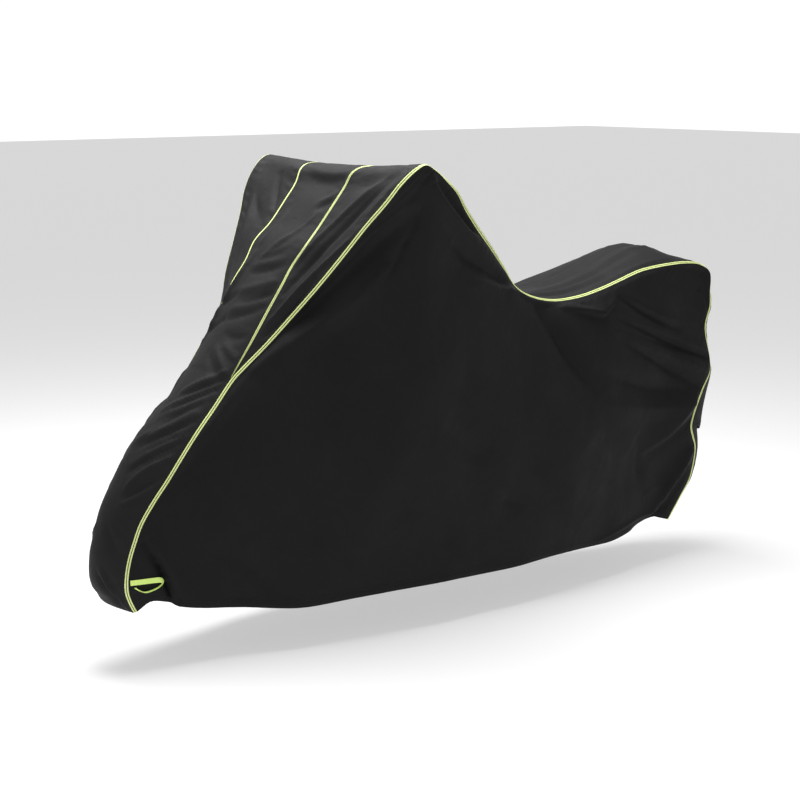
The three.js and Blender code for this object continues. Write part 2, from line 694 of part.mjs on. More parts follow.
// The webbing loop beside the nose piping
function webbingLoop() {
  const route = new Route(LOOP.map((row) => ({ ...row, tilt: row.roll })));
  const distances = spaced(0, route.length, LOOP_STEPS);
  const points = distances.map((distance) => route.point(distance));
  const sections = points.map((point, k) => {
    const along = points[Math.min(k + 1, LOOP_STEPS)].clone().sub(points[Math.max(k - 1, 0)]).normalize();
    const aside = new THREE.Vector3(1, -0.3, 0).normalize();
    const up = along.clone().cross(aside).normalize();
    const roll = degrees(90 - route.tilt(distances[k]));
    const wide = aside.clone().multiplyScalar(Math.cos(roll)).addScaledVector(up, Math.sin(roll)).normalize();
    const thin = along.clone().cross(wide).normalize();
    const half = LOOP_WIDTH / 2;
    return [[-half, -1], [half, -1], [half, 1], [-half, 1]].map(([across, out]) => point.clone()
      .addScaledVector(wide, across)
      .addScaledVector(thin, (out * LOOP_THICK) / 2));
  });
  return strip('webbing_loop', sections, webbing);
}

const cover = new THREE.Group();
cover.name = 'motorcycle_cover';
for (const side of [1, -1]) {
  const word = side > 0 ? 'left' : 'right';
  cover.add(sidePanel(side));
  cover.add(gusset(side));
  cover.add(pipingStrip(`piping_main_${word}`, side, mainSeam, () => PIPING_WIDTH));
  cover.add(pipingStrip(`piping_branch_${word}`, side, branchSeam, branchWidth));
}
cover.add(frontPanel());
cover.add(topPanel());
cover.add(webbingLoop());

export default cover;
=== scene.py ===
# A fitted motorcycle cover, hanging in the shape it takes over what it hides.
# The tables are in millimetres, with heights above the ground.
# The pieces are made in metres in the part's frame.
import math

import bpy
import numpy as np
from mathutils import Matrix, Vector


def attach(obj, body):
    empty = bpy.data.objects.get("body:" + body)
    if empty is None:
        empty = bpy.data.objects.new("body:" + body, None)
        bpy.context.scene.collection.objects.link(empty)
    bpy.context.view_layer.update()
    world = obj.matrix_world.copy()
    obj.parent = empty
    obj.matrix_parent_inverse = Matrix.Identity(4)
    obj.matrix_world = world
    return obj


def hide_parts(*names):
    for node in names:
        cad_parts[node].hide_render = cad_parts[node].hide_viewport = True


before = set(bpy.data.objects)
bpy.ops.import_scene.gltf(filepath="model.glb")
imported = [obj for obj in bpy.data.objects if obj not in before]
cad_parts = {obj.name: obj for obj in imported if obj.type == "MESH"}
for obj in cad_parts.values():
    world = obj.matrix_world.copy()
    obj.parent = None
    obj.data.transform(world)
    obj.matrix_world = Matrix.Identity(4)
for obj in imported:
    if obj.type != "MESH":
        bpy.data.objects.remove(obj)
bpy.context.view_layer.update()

# Sizes of the cloth and of what is sewn to it
CLOTH_THICK = 1.6
GAP = 0.4
CROSS_GAP = 1.5
PIPING_WIDTH = 9.2
PIPING_THICK = 3.0
BRANCH_WIDTH = 6.6
BRANCH_TIP = 1.2
GUSSET_TIP = 0.8
LOOP_WIDTH = 13.0
LOOP_THICK = 1.8
ORIGIN = np.array([0.0, 405.0, 1205.0])
METRES = 0.001

# Steps along the seams, as in the solids, and how much finer the cloth is here
STEPS = {"nose": 13, "chest": 15, "crest": 3, "top": 32, "back": 28}
FINE = 6
FRONT_COLUMNS = 48
GUSSET_COLUMNS = 36
TOP_COLUMNS = 56
LOOP_STEPS = 96

# The form is reached this far from a seam, and folds fade out over this much cloth beside it
FORM_REACH = 130.0
SIDE_FADE = 16.0
CENTRE_FADE = 14.0
WAIST_HEIGHT = 450.0
SHOULDER_HEIGHT = 850.0

# Sewing and hems
HEM_DEPTH = 24.0
HEM_STEP = 0.9
HEM_ROW = 20.0
HEM_SOFTNESS = 1.6
HEM_DRAW = 0.7
HEM_DRAW_REACH = 2.2
HEM_ROLL = 1.2
HEM_ROLL_REACH = 4.0
HEM_SHARES = np.array([0, 3, 8, 13, 17, 19, 21, 23, 25, 28, 32]) / 1000
PUCKER_REACH = 34.0
PUCKER_PITCH = 31.0
PUCKER_RISE = 1.1
STITCH_LENGTH = 3.4
STITCH_PITCH = 4.6
STITCH_THICK = 0.55
STITCH_INSET = 4.0

# Edges sharper than this many degrees stay sharp
CLOTH_ANGLE = 62
TRIM_ANGLE = 50
THREAD_ANGLE = 80

# Threads of the weave, from one to the next, in metres
CLOTH_PITCH = 0.0009
TRIM_PITCH = 0.0011


def table(columns, rows):
    return [dict(zip(columns, row)) for row in rows]


# The main seam of one side, from the nose hem over the peak and the dip to the tail hem.
# The tilt turns the piping's face from sideways, 0, to the way the centre panels face, 90.
SEAM = table(["place", "x", "y", "z", "tilt"], [
    ["nose hem", 80, -268, 153, 40],
    ["nose crease", 80, -281, 178, 40],
    ["nose low", 80, -290, 204, 40],
    ["nose tip", 80, -291, 235, 40],
    ["nose", 80, -282, 282, 40],
    ["nose high", 83, -266, 331, 42],
    ["brow low", 87, -251, 370, 45],
    ["brow", 93, -219, 421, 45],
    ["brow high", 99, -182, 470, 45],
    ["throat low", 103, -133, 536, 45],
    ["throat", 105, -95, 584, 45],
    ["throat high", 103, -44, 639, 45],
    ["junction", 104, 12, 704, 45],
    ["fork", 111, 38, 730, 44],
    ["chest low", 128, 93, 783, 42],
    ["chest", 159, 152, 855, 42],
    ["chest high", 205, 199, 930, 42],
    ["shoulder", 240, 246, 1001, 42],
    ["shoulder high", 275, 294, 1076, 42],
    ["arm", 309, 332, 1135, 44],
    ["arm high", 325, 367, 1182, 48],
    ["peak front", 335, 403, 1214, 60],
    ["peak", 338, 430, 1226, 75],
    ["peak back", 330, 468, 1213, 64],
    ["fall high", 312, 520, 1185, 44],
    ["fall one", 292, 576, 1149, 26],
    ["fall two", 272, 621, 1105, 12],
    ["fall three", 238, 703, 1036, 5],
    ["fall four", 218, 751, 999, 8],
    ["fall low", 192, 825, 933, 26],
    ["dip front", 172, 884, 878, 50],
    ["dip low", 158, 952, 845, 56],
    ["dip", 150, 1046, 825, 56],
    ["dip back", 152, 1147, 829, 54],
    ["rise low", 156, 1221, 844, 52],
    ["rise", 151, 1303, 863, 50],
    ["rise high", 147, 1389, 884, 50],
    ["pad", 149, 1450, 892, 50],
    ["pad high", 150, 1510, 896, 50],
    ["pad back", 150, 1571, 897, 50],
    ["tail top", 147, 1640, 888, 58],
    ["tail", 147, 1684, 861, 66],
    ["back high", 147, 1690, 800, 38],
    ["back one", 147, 1692, 760, 22],
    ["back pinch", 147, 1673, 698, 26],
    ["back two", 150, 1693, 600, 46],
    ["back three", 150, 1696, 562, 34],
    ["back four", 154, 1660, 508, 18],
    ["back five", 160, 1618, 437, 16],
    ["back waist", 164, 1605, 404, 16],
    ["back six", 158, 1621, 370, 18],
    ["back seven", 150, 1640, 335, 22],
    ["back eight", 144, 1638, 276, 22],
    ["back nine", 140, 1628, 235, 22],
    ["back low", 138, 1592, 186, 26],
    ["tail hem", 135, 1546, 124, 30],
])

# The branch seam, from the junction up the front and over the crest to the cross seam
BRANCH = table(["place", "x", "y", "z", "tilt"], [
    ["chest low", 101, 68, 790, 58],
    ["chest", 103, 120, 867, 66],
    ["chest high", 106, 159, 925, 71],
    ["shoulder", 103, 193, 971, 75],
    ["shoulder high", 112, 228, 1019, 78],
    ["arm", 106, 275, 1065, 80],
    ["arm high", 106, 320, 1118, 80],
    ["crest low", 107, 358, 1165, 80],
    ["crest front", 112, 376, 1197, 80],
    ["crest", 117, 396, 1210, 80],
    ["crest back", 121, 424, 1214, 80],
    ["over", 124, 455, 1211, 80],
    ["cross seam", 125, 484, 1201, 80],
])

# How far the centre panels stand out between their seams, and how square that crown is
CROWN = table(["place", "out", "square"], [
    ["nose hem", 4, 2.2],
    ["nose crease", 25, 2.3],
    ["nose low", 33, 2.4],
    ["nose tip", 39, 2.4],
    ["nose", 48, 2.3],
    ["nose high", 49, 2.3],
    ["brow", 54, 2.4],
    ["brow high", 60, 2.4],
    ["throat low", 57, 2.4],
    ["throat", 42, 2.3],
    ["junction", 30, 2.2],
    ["peak back", -10, 2],
    ["fall high", -20, 2],
    ["fall one", -12, 2],
    ["fall three", -4, 2],
    ["dip front", 14, 2],
    ["dip low", 12, 2],
    ["dip", 10, 2.1],
    ["dip back", 6, 2.1],
    ["rise low", 3, 2.2],
    ["rise", 8, 2.2],
    ["rise high", 26, 2.3],
    ["pad", 42, 2.3],
    ["pad high", 44, 2.3],
    ["pad back", 20, 2.3],
    ["tail top", 4, 2.2],
    ["tail", 8, 3],
    ["back high", 34, 6],
    ["back one", 38, 6],
    ["back pinch", 41, 6],
    ["back two", 30, 5],
    ["back three", 44, 6],
    ["back four", 70, 6],
    ["back five", 100, 6],
    ["back waist", 100, 6],
    ["back six", 76, 6],
    ["back seven", 53, 6],
    ["back eight", 49, 6],
    ["back nine", 42, 5],
    ["back low", 26, 3],
    ["tail hem", 6, 2],
])
BRANCH_CROWN = table(["place", "out", "square"], [
    ["chest low", 22, 2],
    ["shoulder", 12, 2],
    ["crest", -3, 2],
    ["cross seam", 0, 2],
])

# Half widths of the side panels: at the hem, at the waist and at the shoulder
GIRTH = table(["y", "hem", "hem_height", "waist", "shoulder"], [
    [-268, 80, 153, 80, 80],
    [-235, 96, 178, 104, 104],
    [-200, 107, 174, 120, 122],
    [-160, 116, 156, 134, 140],
    [0, 141, 130, 178, 190],
    [170, 185, 112, 228, 245],
    [443, 226, 117, 268, 300],
    [608, 240, 119, 274, 296],
    [730, 240, 115, 270, 275],
    [1030, 220, 118, 252, 225],
    [1228, 186, 111, 226, 196],
    [1336, 166, 119, 206, 182],
    [1489, 142, 141, 176, 162],
    [1546, 135, 124, 166, 157],
])

# Folds lie on lines. Left and right are their widths on either side of the line as it runs,
# out is how far they lift the cloth, crisp turns a soft roll into a crease,
# and peak is where along it they are most.
# Places in the side view. Side 1 is the loop's side and -1 the other.
FOLD = ["side", "a0", "b0", "a1", "b1", "bow", "left", "right", "out", "crisp", "peak"]
SIDE_FOLDS = table(FOLD, [
    # Down the front seam from the peak
    [1, 428, 1172, 60, 735, 4, 10, 10, -6, 0.3, 0.5],
    [1, 418, 1142, 236, 982, -10, 9, 12, 8, 0.6, 0.5],
    [1, 436, 1112, 130, 800, -12, 22, 24, -15, 0.3, 0.5],
    [1, 372, 985, 44, 722, 11, 30, 15, 14, 0.55, 0.5],
    [1, 430, 1090, 60, 725, 33, 75, 34, 5, 0.2, 0.45],
    [1, 444, 1135, 362, 940, 9, 8, 9, -8, 0.6, 0.5],
    [1, 470, 1180, 330, 150, 30, 62, 55, 8, 0.2, 0.35],
    [1, 260, 860, 120, 420, 14, 40, 34, -4, 0.3, 0.4],
    # Down the rear seam from the peak to the dip
    [1, 452, 1204, 690, 1020, -20, 14, 40, 19, 0.85, 0.4],
    [1, 474, 1192, 680, 1036, -8, 16, 14, -16, 0.3, 0.45],
    [1, 560, 1030, 822, 888, -3, 16, 40, -17, 0.5, 0.62],
    [1, 500, 1100, 700, 930, -10, 30, 26, -7, 0.3, 0.6],
    [1, 640, 926, 888, 862, -3, 12, 30, 12, 0.8, 0.66],
    [1, 640, 900, 720, 140, -40, 80, 60, -8, 0.2, 0.4],
    # Under the dip and the pad
    [1, 1040, 808, 1208, 776, 1, 28, 6, 17, 0.9, 0.8],
    [1, 1204, 776, 1272, 820, 0, 30, 6, 10, 0.9, 0.35],
    [1, 1108, 817, 1166, 797, 0, 6, 8, -4, 0.8, 0.5],
    [1, 962, 828, 1158, 556, -15, 40, 24, -23, 0.5, 0.45],
    [1, 1010, 800, 1250, 560, -20, 50, 40, 7, 0.3, 0.45],
    [1, 1270, 822, 1560, 700, -9, 9, 12, -10, 0.8, 0.4],
    [1, 1300, 826, 1590, 714, -9, 9, 8, 5, 0.8, 0.4],
    [1, 1230, 772, 1690, 600, 0, 13, 17, -14, 0.8, 0.62],
    [1, 1300, 762, 1694, 622, 0, 12, 11, 6, 0.7, 0.7],
    [1, 1240, 734, 1600, 618, 3, 9, 9, -5, 0.85, 0.4],
    [1, 1250, 702, 1660, 510, 6, 16, 18, -12, 0.6, 0.5],
    [1, 1300, 706, 1694, 566, -4, 22, 22, 9, 0.5, 0.65],
    [1, 1140, 634, 1640, 516, -24, 34, 28, -13, 0.4, 0.45],
    [1, 1150, 542, 1640, 472, -20, 22, 50, 11, 0.5, 0.6],
    # Down the tail
    [1, 1640, 812, 1674, 722, 2, 12, 16, 10, 0.8, 0.5],
    [1, 1672, 722, 1676, 660, 2, 12, 14, 7, 0.8, 0.4],
    [1, 1640, 500, 1372, 352, 18, 14, 46, 14, 0.5, 0.4],
    [1, 1610, 440, 1400, 345, 16, 24, 12, -8, 0.4, 0.5],
    [1, 1360, 372, 1432, 230, -30, 22, 16, -6, 0.6, 0.5],
    [1, 1330, 400, 1572, 208, 0, 62, 56, -10, 0.25, 0.5],
    [1, 1380, 300, 1480, 230, -10, 16, 12, 4, 0.8, 0.5],
    [1, 1630, 340, 1440, 150, 10, 15, 36, 18, 0.9, 0.45],
    [1, 1500, 164, 1180, 122, -6, 8, 12, 7, 0.85, 0.4],
    [1, 1560, 200, 1360, 128, 18, 16, 14, -8, 0.7, 0.5],
    # Low on the nose
    [1, -254, 338, -182, 158, 9, 13, 9, -22, 0.75, 0.6],
    [1, -236, 330, -160, 156, 12, 26, 14, 11, 0.5, 0.5],
    [1, -190, 222, -150, 158, 0, 7, 7, -5, 0.9, 0.5],
    [1, -205, 212, -186, 168, 0, 8, 8, 4, 0.9, 0.5],
    [1, -100, 300, 130, 130, 16, 26, 20, -4, 0.5, 0.6],
    # Slow hollows over the middle
    [1, 545, 548, 716, 432, -11, 34, 30, -6, 0.4, 0.5],
    [1, 770, 322, 850, 285, 0, 14, 16, -5, 0.6, 0.5],
    [1, 880, 330, 1240, 220, -20, 44, 36, -4, 0.3, 0.5],
    [1, 250, 560, 420, 300, 18, 40, 52, -4, 0.3, 0.5],
    [1, 980, 520, 1060, 180, 12, 50, 50, 4, 0.2, 0.5],
    # The far side
    [-1, 415, 1150, 20, 640, 12, 26, 16, -17, 0.4, 0.45],
    [-1, 440, 1060, 90, 570, 24, 44, 22, 14, 0.5, 0.45],
    [-1, 450, 1150, 380, 780, 20, 24, 15, -10, 0.6, 0.35],
    [-1, 452, 1204, 730, 985, -14, 13, 44, 25, 0.8, 0.4],
    [-1, 540, 1040, 880, 760, 16, 26, 36, -18, 0.4, 0.5],
    [-1, 680, 960, 930, 800, 4, 14, 32, 10, 0.8, 0.6],
    [-1, 960, 832, 1200, 450, -22, 36, 20, -17, 0.7, 0.35],
    [-1, 1040, 790, 1330, 440, -20, 46, 40, 9, 0.3, 0.45],
    [-1, 1110, 812, 1282, 762, 2, 26, 8, 10, 0.85, 0.7],
    [-1, 1250, 800, 1690, 640, 4, 14, 18, -12, 0.85, 0.6],
    [-1, 1290, 742, 1640, 600, -3, 11, 12, -7, 0.8, 0.4],
    [-1, 1330, 706, 1694, 520, 0, 24, 26, 10, 0.5, 0.6],
    [-1, 1180, 560, 1650, 480, 10, 50, 30, -8, 0.4, 0.6],
    [-1, 1640, 470, 1420, 350, -6, 36, 12, 14, 0.8, 0.35],
    [-1, 1400, 420, 1640, 260, 0, 48, 44, -10, 0.3, 0.5],
    [-1, 1640, 320, 1440, 144, 20, 15, 38, 17, 0.9, 0.45],
    [-1, -250, 332, -150, 150, 12, 18, 12, -18, 0.75, 0.55],
    [-1, -230, 330, -120, 156, 12, 26, 16, 9, 0.5, 0.5],
    [-1, 460, 1180, 260, 160, 30, 62, 56, 10, 0.2, 0.35],
    [-1, 760, 880, 800, 150, -30, 66, 60, -8, 0.2, 0.4],
    [-1, 600, 460, 860, 380, -24, 44, 40, -6, 0.3, 0.5],
    [-1, 100, 520, 330, 260, 18, 44, 50, -6, 0.3, 0.5],
])

# Places in the front view. Side 0 folds are on both halves, side 1 and -1 on one.
# Those that start beyond the first value across are the gussets'.
GUSSET_START = 140
FRONT_FOLDS = table(FOLD, [
    # Up the nose
    [0, -80, 200, 80, 196, -22, 20, 16, -8, 0.3, 0.5],
    [1, 8, 252, 56, 152, 6, 6, 7, -10, 0.85, 0.5],
    [1, 20, 262, 68, 160, 5, 6, 6, 5, 0.8, 0.5],
    [1, 34, 266, 76, 172, 2, 5, 6, -5, 0.8, 0.5],
    [1, 34, 376, 78, 300, 3, 6, 7, 5, 0.8, 0.5],
    [1, 18, 366, 66, 290, 3, 7, 7, -5, 0.7, 0.5],
    [1, 54, 372, 84, 330, 2, 5, 6, 4, 0.8, 0.5],
    [1, 30, 396, 88, 404, -3, 8, 8, 4, 0.5, 0.5],
    [1, 30, 412, 92, 466, -9, 6, 9, 7, 0.8, 0.5],
    [1, 38, 427, 90, 490, -3, 8, 8, -8, 0.5, 0.6],
    [1, 32, 446, 98, 534, 6, 7, 9, 10, 0.8, 0.5],
    [1, 44, 494, 94, 542, 2, 4, 5, -4, 0.8, 0.5],
    [1, 60, 520, 98, 556, 2, 4, 4, 4, 0.8, 0.5],
    [1, 16, 484, 96, 562, 5, 10, 9, -9, 0.5, 0.55],
    [1, 16, 502, 92, 580, -3, 7, 8, 8, 0.7, 0.45],
    [1, 30, 536, 98, 590, 0, 6, 7, -6, 0.6, 0.6],
    [1, 66, 574, 102, 594, 0, 5, 5, 4, 0.8, 0.5],
    [1, 2, 540, 90, 614, -3, 8, 8, -8, 0.5, 0.55],
    [1, 14, 566, 96, 632, -3, 5, 6, 6, 0.8, 0.5],
    [1, -40, 540, 96, 660, -10, 8, 10, 7, 0.7, 0.55],
    [1, 4, 556, 98, 656, 8, 6, 7, -7, 0.7, 0.55],
    [1, -10, 606, 90, 670, -5, 6, 7, 7, 0.75, 0.5],
    [1, -24, 616, 96, 700, -2, 8, 10, 10, 0.75, 0.55],
    [1, 14, 624, 102, 692, 3, 9, 10, -7, 0.6, 0.6],
    [1, -6, 662, 92, 722, 1, 8, 10, 9, 0.7, 0.5],
    [1, 10, 654, 100, 708, 1, 7, 9, -7, 0.6, 0.6],
    [-1, 60, 432, 98, 476, 2, 10, 14, 6, 0.7, 0.6],
    [-1, 60, 466, 98, 510, 2, 10, 12, -5, 0.6, 0.6],
    [-1, 60, 506, 102, 556, 2, 9, 14, 7, 0.75, 0.6],
    [-1, 60, 544, 102, 592, 2, 10, 12, -6, 0.5, 0.6],
    [-1, 60, 584, 102, 636, 2, 9, 14, 7, 0.7, 0.6],
    [-1, 60, 620, 102, 668, 2, 10, 12, -6, 0.5, 0.6],
    [-1, 60, 660, 100, 706, 2, 10, 14, 6, 0.7, 0.6],
    [-1, 20, 360, 80, 300, 3, 8, 9, 5, 0.7, 0.5],
    # Under the crest and down between the branches
    [1, -104, 1196, 113, 1184, -17, 16, 22, -6, 0.5, 0.5],
    [1, -70, 1204, 90, 1198, -10, 10, 10, 4, 0.5, 0.5],
    [1, 50, 1103, 108, 1136, 1, 7, 11, -5, 0.7, 0.6],
    [1, 30, 1112, 108, 1150, 1, 8, 8, 4, 0.6, 0.6],
    [1, -28, 984, 74, 1110, -14, 5, 9, 7, 0.85, 0.4],
    [1, -20, 1004, 40, 1050, -1, 4, 6, 5, 0.85, 0.4],
    [1, -24, 984, 70, 1026, -2, 6, 8, 4, 0.8, 0.35],
    [1, -34, 947, 86, 972, -3, 8, 13, -6, 0.7, 0.5],
    [1, -44, 962, 80, 990, -3, 10, 8, 5, 0.6, 0.4],
    [1, 0, 873, 106, 922, -9, 10, 14, -7, 0.6, 0.6],
    [1, -50, 900, 90, 938, -5, 12, 12, 6, 0.5, 0.5],
    [1, -40, 832, 102, 878, -5, 9, 14, -6, 0.6, 0.5],
    [1, -30, 858, 90, 896, -4, 10, 10, 5, 0.6, 0.5],
    [1, 8, 807, 84, 801, -6, 8, 11, -5, 0.6, 0.5],
    [1, 4, 778, 99, 705, 2, 8, 9, 6, 0.7, 0.5],
    [1, -12, 764, 84, 698, 2, 9, 9, -4, 0.5, 0.5],
    [1, 30, 782, 100, 740, 3, 6, 6, 4, 0.8, 0.5],
    [1, -62, 1000, -84, 760, -8, 9, 12, 11, 0.8, 0.5],
    [-1, 60, 1100, 70, 1010, -8, 10, 12, 5, 0.6, 0.5],
    [-1, 20, 900, 100, 850, 3, 9, 10, -6, 0.6, 0.5],
    [-1, 20, 840, 100, 780, 3, 9, 10, -6, 0.6, 0.5],
    # The gussets
    [1, 268, 1206, 106, 956, -14, 6, 18, 10, 0.85, 0.5],
    [1, 294, 1208, 120, 900, -13, 13, 10, -12, 0.35, 0.5],
    [1, 264, 1066, 112, 826, -7, 7, 9, 9, 0.8, 0.55],
    [1, 200, 950, 118, 800, -2, 6, 7, -7, 0.7, 0.6],
    [1, 134, 826, 106, 768, 0, 5, 5, 5, 0.8, 0.5],
    [1, 324, 1204, 262, 1100, 4, 8, 8, 5, 0.6, 0.4],
    [1, 290, 1208, 150, 1166, 10, 14, 20, -5, 0.4, 0.4],
    [-1, 318, 1214, 150, 900, -24, 16, 13, 8, 0.6, 0.45],
    [-1, 300, 1206, 128, 1060, 26, 13, 13, -7, 0.4, 0.4],
    [-1, 306, 1212, 240, 950, 14, 12, 12, 6, 0.7, 0.35],
    [-1, 200, 1190, 128, 1100, 4, 9, 11, -8, 0.6, 0.6],
    [-1, 290, 1150, 120, 850, -6, 14, 14, -7, 0.4, 0.5],
    [-1, 250, 1020, 120, 800, 4, 11, 11, 6, 0.6, 0.5],
])

# Half width against distance along the seam, over the top and down the tail
TOP_FOLDS = table(FOLD, [
    [0, 220, 1480, -120, 1960, 30, 50, 42, -14, 0.3, 0.5],
    [0, -210, 1560, 60, 2020, 30, 44, 40, 12, 0.4, 0.5],
    [0, 130, 1700, -40, 2150, -16, 18, 24, 6, 0.6, 0.5],
    [0, -60, 1500, -150, 2000, 10, 30, 26, -6, 0.4, 0.5],
    [0, 90, 1960, 112, 2420, 8, 12, 16, -7, 0.6, 0.6],
    [0, 70, 2000, 96, 2520, 8, 11, 12, 6, 0.7, 0.55],
    [0, 40, 2120, 70, 2560, 6, 10, 13, -6, 0.6, 0.6],
    [0, 16, 2180, 60, 2700, 6, 10, 12, 6, 0.7, 0.5],
    [0, -20, 2240, 10, 2640, 6, 11, 12, -5, 0.6, 0.5],
    [0, -60, 2160, -30, 2680, 6, 12, 14, 5, 0.6, 0.5],
    [0, -100, 2120, -70, 2560, -6, 12, 14, -6, 0.5, 0.5],
    [0, 128, 2300, 130, 2640, -4, 10, 10, 4, 0.6, 0.5],
    [0, -130, 2020, 130, 2100, 12, 34, 30, -5, 0.2, 0.5],
    [0, -150, 2850, 140, 2940, 10, 26, 26, -8, 0.5, 0.5],
    [0, -150, 2910, 140, 3010, 4, 14, 18, 7, 0.7, 0.5],
    [0, -150, 2980, 140, 3090, 4, 14, 16, -6, 0.6, 0.5],
    [0, -150, 3060, 140, 3160, 10, 26, 26, 7, 0.4, 0.5],
    [0, -150, 3270, 60, 3190, 4, 16, 18, -6, 0.6, 0.4],
    [0, -130, 3330, 110, 3440, 10, 24, 22, -8, 0.4, 0.5],
    [0, -120, 3400, 100, 3500, 6, 14, 16, 5, 0.6, 0.5],
])

# Long slow swells that leave no panel even, then small crinkles
SWELLS = table(["along", "up", "turn", "out"], [
    [610, 900, 0.6, 5],
    [370, 520, 2.1, 3],
    [230, 340, 4.0, 1.6],
])
CRINKLES = table(["size", "out", "seed"], [
    [95, 0.9, 11],
    [48, 0.45, 23],
    [24, 0.2, 37],
])

# The webbing loop, from the piping along its upper limb, round and back along its lower limb
LOOP = table(["x", "y", "z", "roll"], [
    [88.5, -285, 230.5, 0],
    [97, -267, 231.5, 0],
    [105, -246, 232.5, 3],
    [111, -227, 233, 8],
    [114.5, -215, 232, 30],
    [116, -209, 226.5, 66],
    [113.5, -217, 217.5, 82],
    [109, -236, 209, 86],
    [104.5, -254, 206, 84],
    [100, -267, 211, 80],
    [96, -276.5, 218.5, 76],
])

# The studio light: white up to the first height, and down to the sky's strength by the second
HORIZON_STRENGTH = 1.1
SKY_HEIGHTS = (0.06, 0.30)
SKY_STRENGTH = 0.34
DIM_SIDE = (0.8, 0.6, 0.0)
DIM_SHARE = 0.5
DIM_SPAN = (-0.1, 0.8)
KEY_PLACE = (-0.5, 0.55, 3.1)
KEY_AIM = (0.0, 0.55, 0.6)
KEY_SIZE = (2.2, 2.8)
KEY_POWER = 165

# The photograph's viewpoint, in metres above the ground
CAMERA_PLACE = (3.984, -2.558, 1.469)
CAMERA_AZIMUTH = 51.4
CAMERA_ELEVATION = 10.0
CAMERA_LENS = 85.5
CAMERA_SENSOR = 36.0

# The floor
FLOOR_SIZE = 60
PAPER_COLOUR = (0.55, 0.55, 0.55, 1)
PAPER_ROUGH = 0.9
PAPER_GLOSS = 0.1
PAPER_GLOW = 0.5
WHITE = (1, 1, 1, 1)


def unit(vectors):
    return vectors / np.maximum(np.linalg.norm(vectors, axis=-1, keepdims=True), 1e-9)


def mirrored(points):
    return points * np.array([-1.0, 1.0, 1.0])


def eased(share):
    """A share kept between 0 and 1, with soft ends."""
    share = np.clip(share, 0, 1)
    return share * share * (3 - 2 * share)


def hermite(t, start, leave, end, arrive):
    """A smooth run from one value to another, with a slope at each."""
    return ((2 * t**3 - 3 * t**2 + 1) * start + (t**3 - 2 * t**2 + t) * leave
            + (3 * t**2 - 2 * t**3) * end + (t**3 - t**2) * arrive)


def path_lengths(points):
    """How far along a path each of its points is."""
    return np.concatenate([[0], np.cumsum(np.linalg.norm(np.diff(points, axis=0), axis=1))])


class Route:
    """A smooth curve through a table's places, read by distance. The last column is its tilt."""

    fine = 24

    def __init__(self, rows, turn="tilt"):
        self.places = [row.get("place") for row in rows]
        self.knots = np.array([[row["x"], row["y"], row["z"], row[turn]] for row in rows], float)
        self.index = np.linspace(0, len(rows) - 1, self.fine * (len(rows) - 1) + 1)
        self.lengths = path_lengths(self.read(self.index)[:, :3])
        self.length = self.lengths[-1]

    def reach(self, place):
        return self.lengths[self.fine * self.places.index(place)]

    def read(self, index):
        ends = 2 * self.knots[[0, -1]] - self.knots[[1, -2]]
        knots = np.vstack([ends[:1], self.knots, ends[1:]])
        low = np.clip(np.floor(index).astype(int), 0, len(self.knots) - 2)
        t = (index - low)[:, None]
        before, start, end, after = (knots[low + k] for k in range(4))

        def gap(a, b):
            return np.sqrt(np.linalg.norm((b - a)[:, :3], axis=1, keepdims=True))

        first, second, third = gap(before, start), gap(start, end), gap(end, after)
        leave = second * ((start - before) / first - (end - before) / (first + second)) + end - start
        arrive = second * ((after - end) / third - (after - start) / (second + third)) + end - start
        return hermite(t, start, leave, end, arrive)

    def at(self, distances):
        return self.read(np.interp(distances, self.lengths, self.index))


def spaced(start, end, steps, ease_start=0.0, ease_end=0.0):
    """Distances from one place to another, closer together at an end whose ease is above zero."""
    t = np.linspace(0, 1, steps + 1)
    dip = t * t - t
    return start + (end - start) * (t + ease_start * dip * (1 - t) - ease_end * dip * t)


class Frames:
    """Along a seam: the points, the way the piping faces, the way across it to the side panel,
    and the way the centre panel faces."""

    def __init__(self, route, distances):
        read = route.at(distances)
        self.distances = distances
        self.points = read[:, :3]
        along = unit(np.gradient(self.points, axis=0))
        nothing = np.zeros(len(along))
        self.front = unit(np.stack([nothing, -along[:, 2], along[:, 1]], axis=1))
        tilt = np.radians(read[:, 3:])
        face = np.cos(tilt) * np.array([1.0, 0, 0]) + np.sin(tilt) * self.front
        self.face = unit(face - (face * along).sum(axis=1, keepdims=True) * along)
        self.across = np.cross(along, self.face)

    def part(self, start, end=None):
        piece = object.__new__(Frames)
        for key, values in self.__dict__.items():
            setattr(piece, key, values[start:end])
        return piece

    def joined(self, other):
        whole = object.__new__(Frames)
        for key, values in self.__dict__.items():
            setattr(whole, key, np.concatenate([values, getattr(other, key)]))
        return whole

    def edge(self, width, way):
        offset = way * (np.asarray(width) / 2 + GAP)
        return self.points + np.broadcast_to(offset, len(self.points))[:, None] * self.across


def main_frames(fine):
    places = ["nose hem", "junction", "peak", "tail", "tail hem"]
    reaches = [main_route.reach(place) for place in places]
    eases = [(0, 0), (0, 0.7), (0.7, 0.4), (0.3, 0)]
    runs = [spaced(reaches[k], reaches[k + 1], STEPS[name] * fine, *eases[k])
            for k, name in enumerate(["nose", "chest", "top", "back"])]
    return Frames(main_route, np.concatenate([run[:-1] for run in runs[:-1]] + [runs[-1]]))


def branch_frames(fine, main):
    steps = (STEPS["chest"] + STEPS["crest"]) * fine
    frames = Frames(branch_route, spaced(0, branch_route.length, steps, 0, 0.6))
    share = np.clip(np.arange(len(frames.points)) / fine, 0, 1)[:, None]
    start = STEPS["nose"] * fine
    frames.face = unit(frames.face * share + main.face[start] * (1 - share))
    frames.across = unit(frames.across * share + main.across[start] * (1 - share))
    return frames


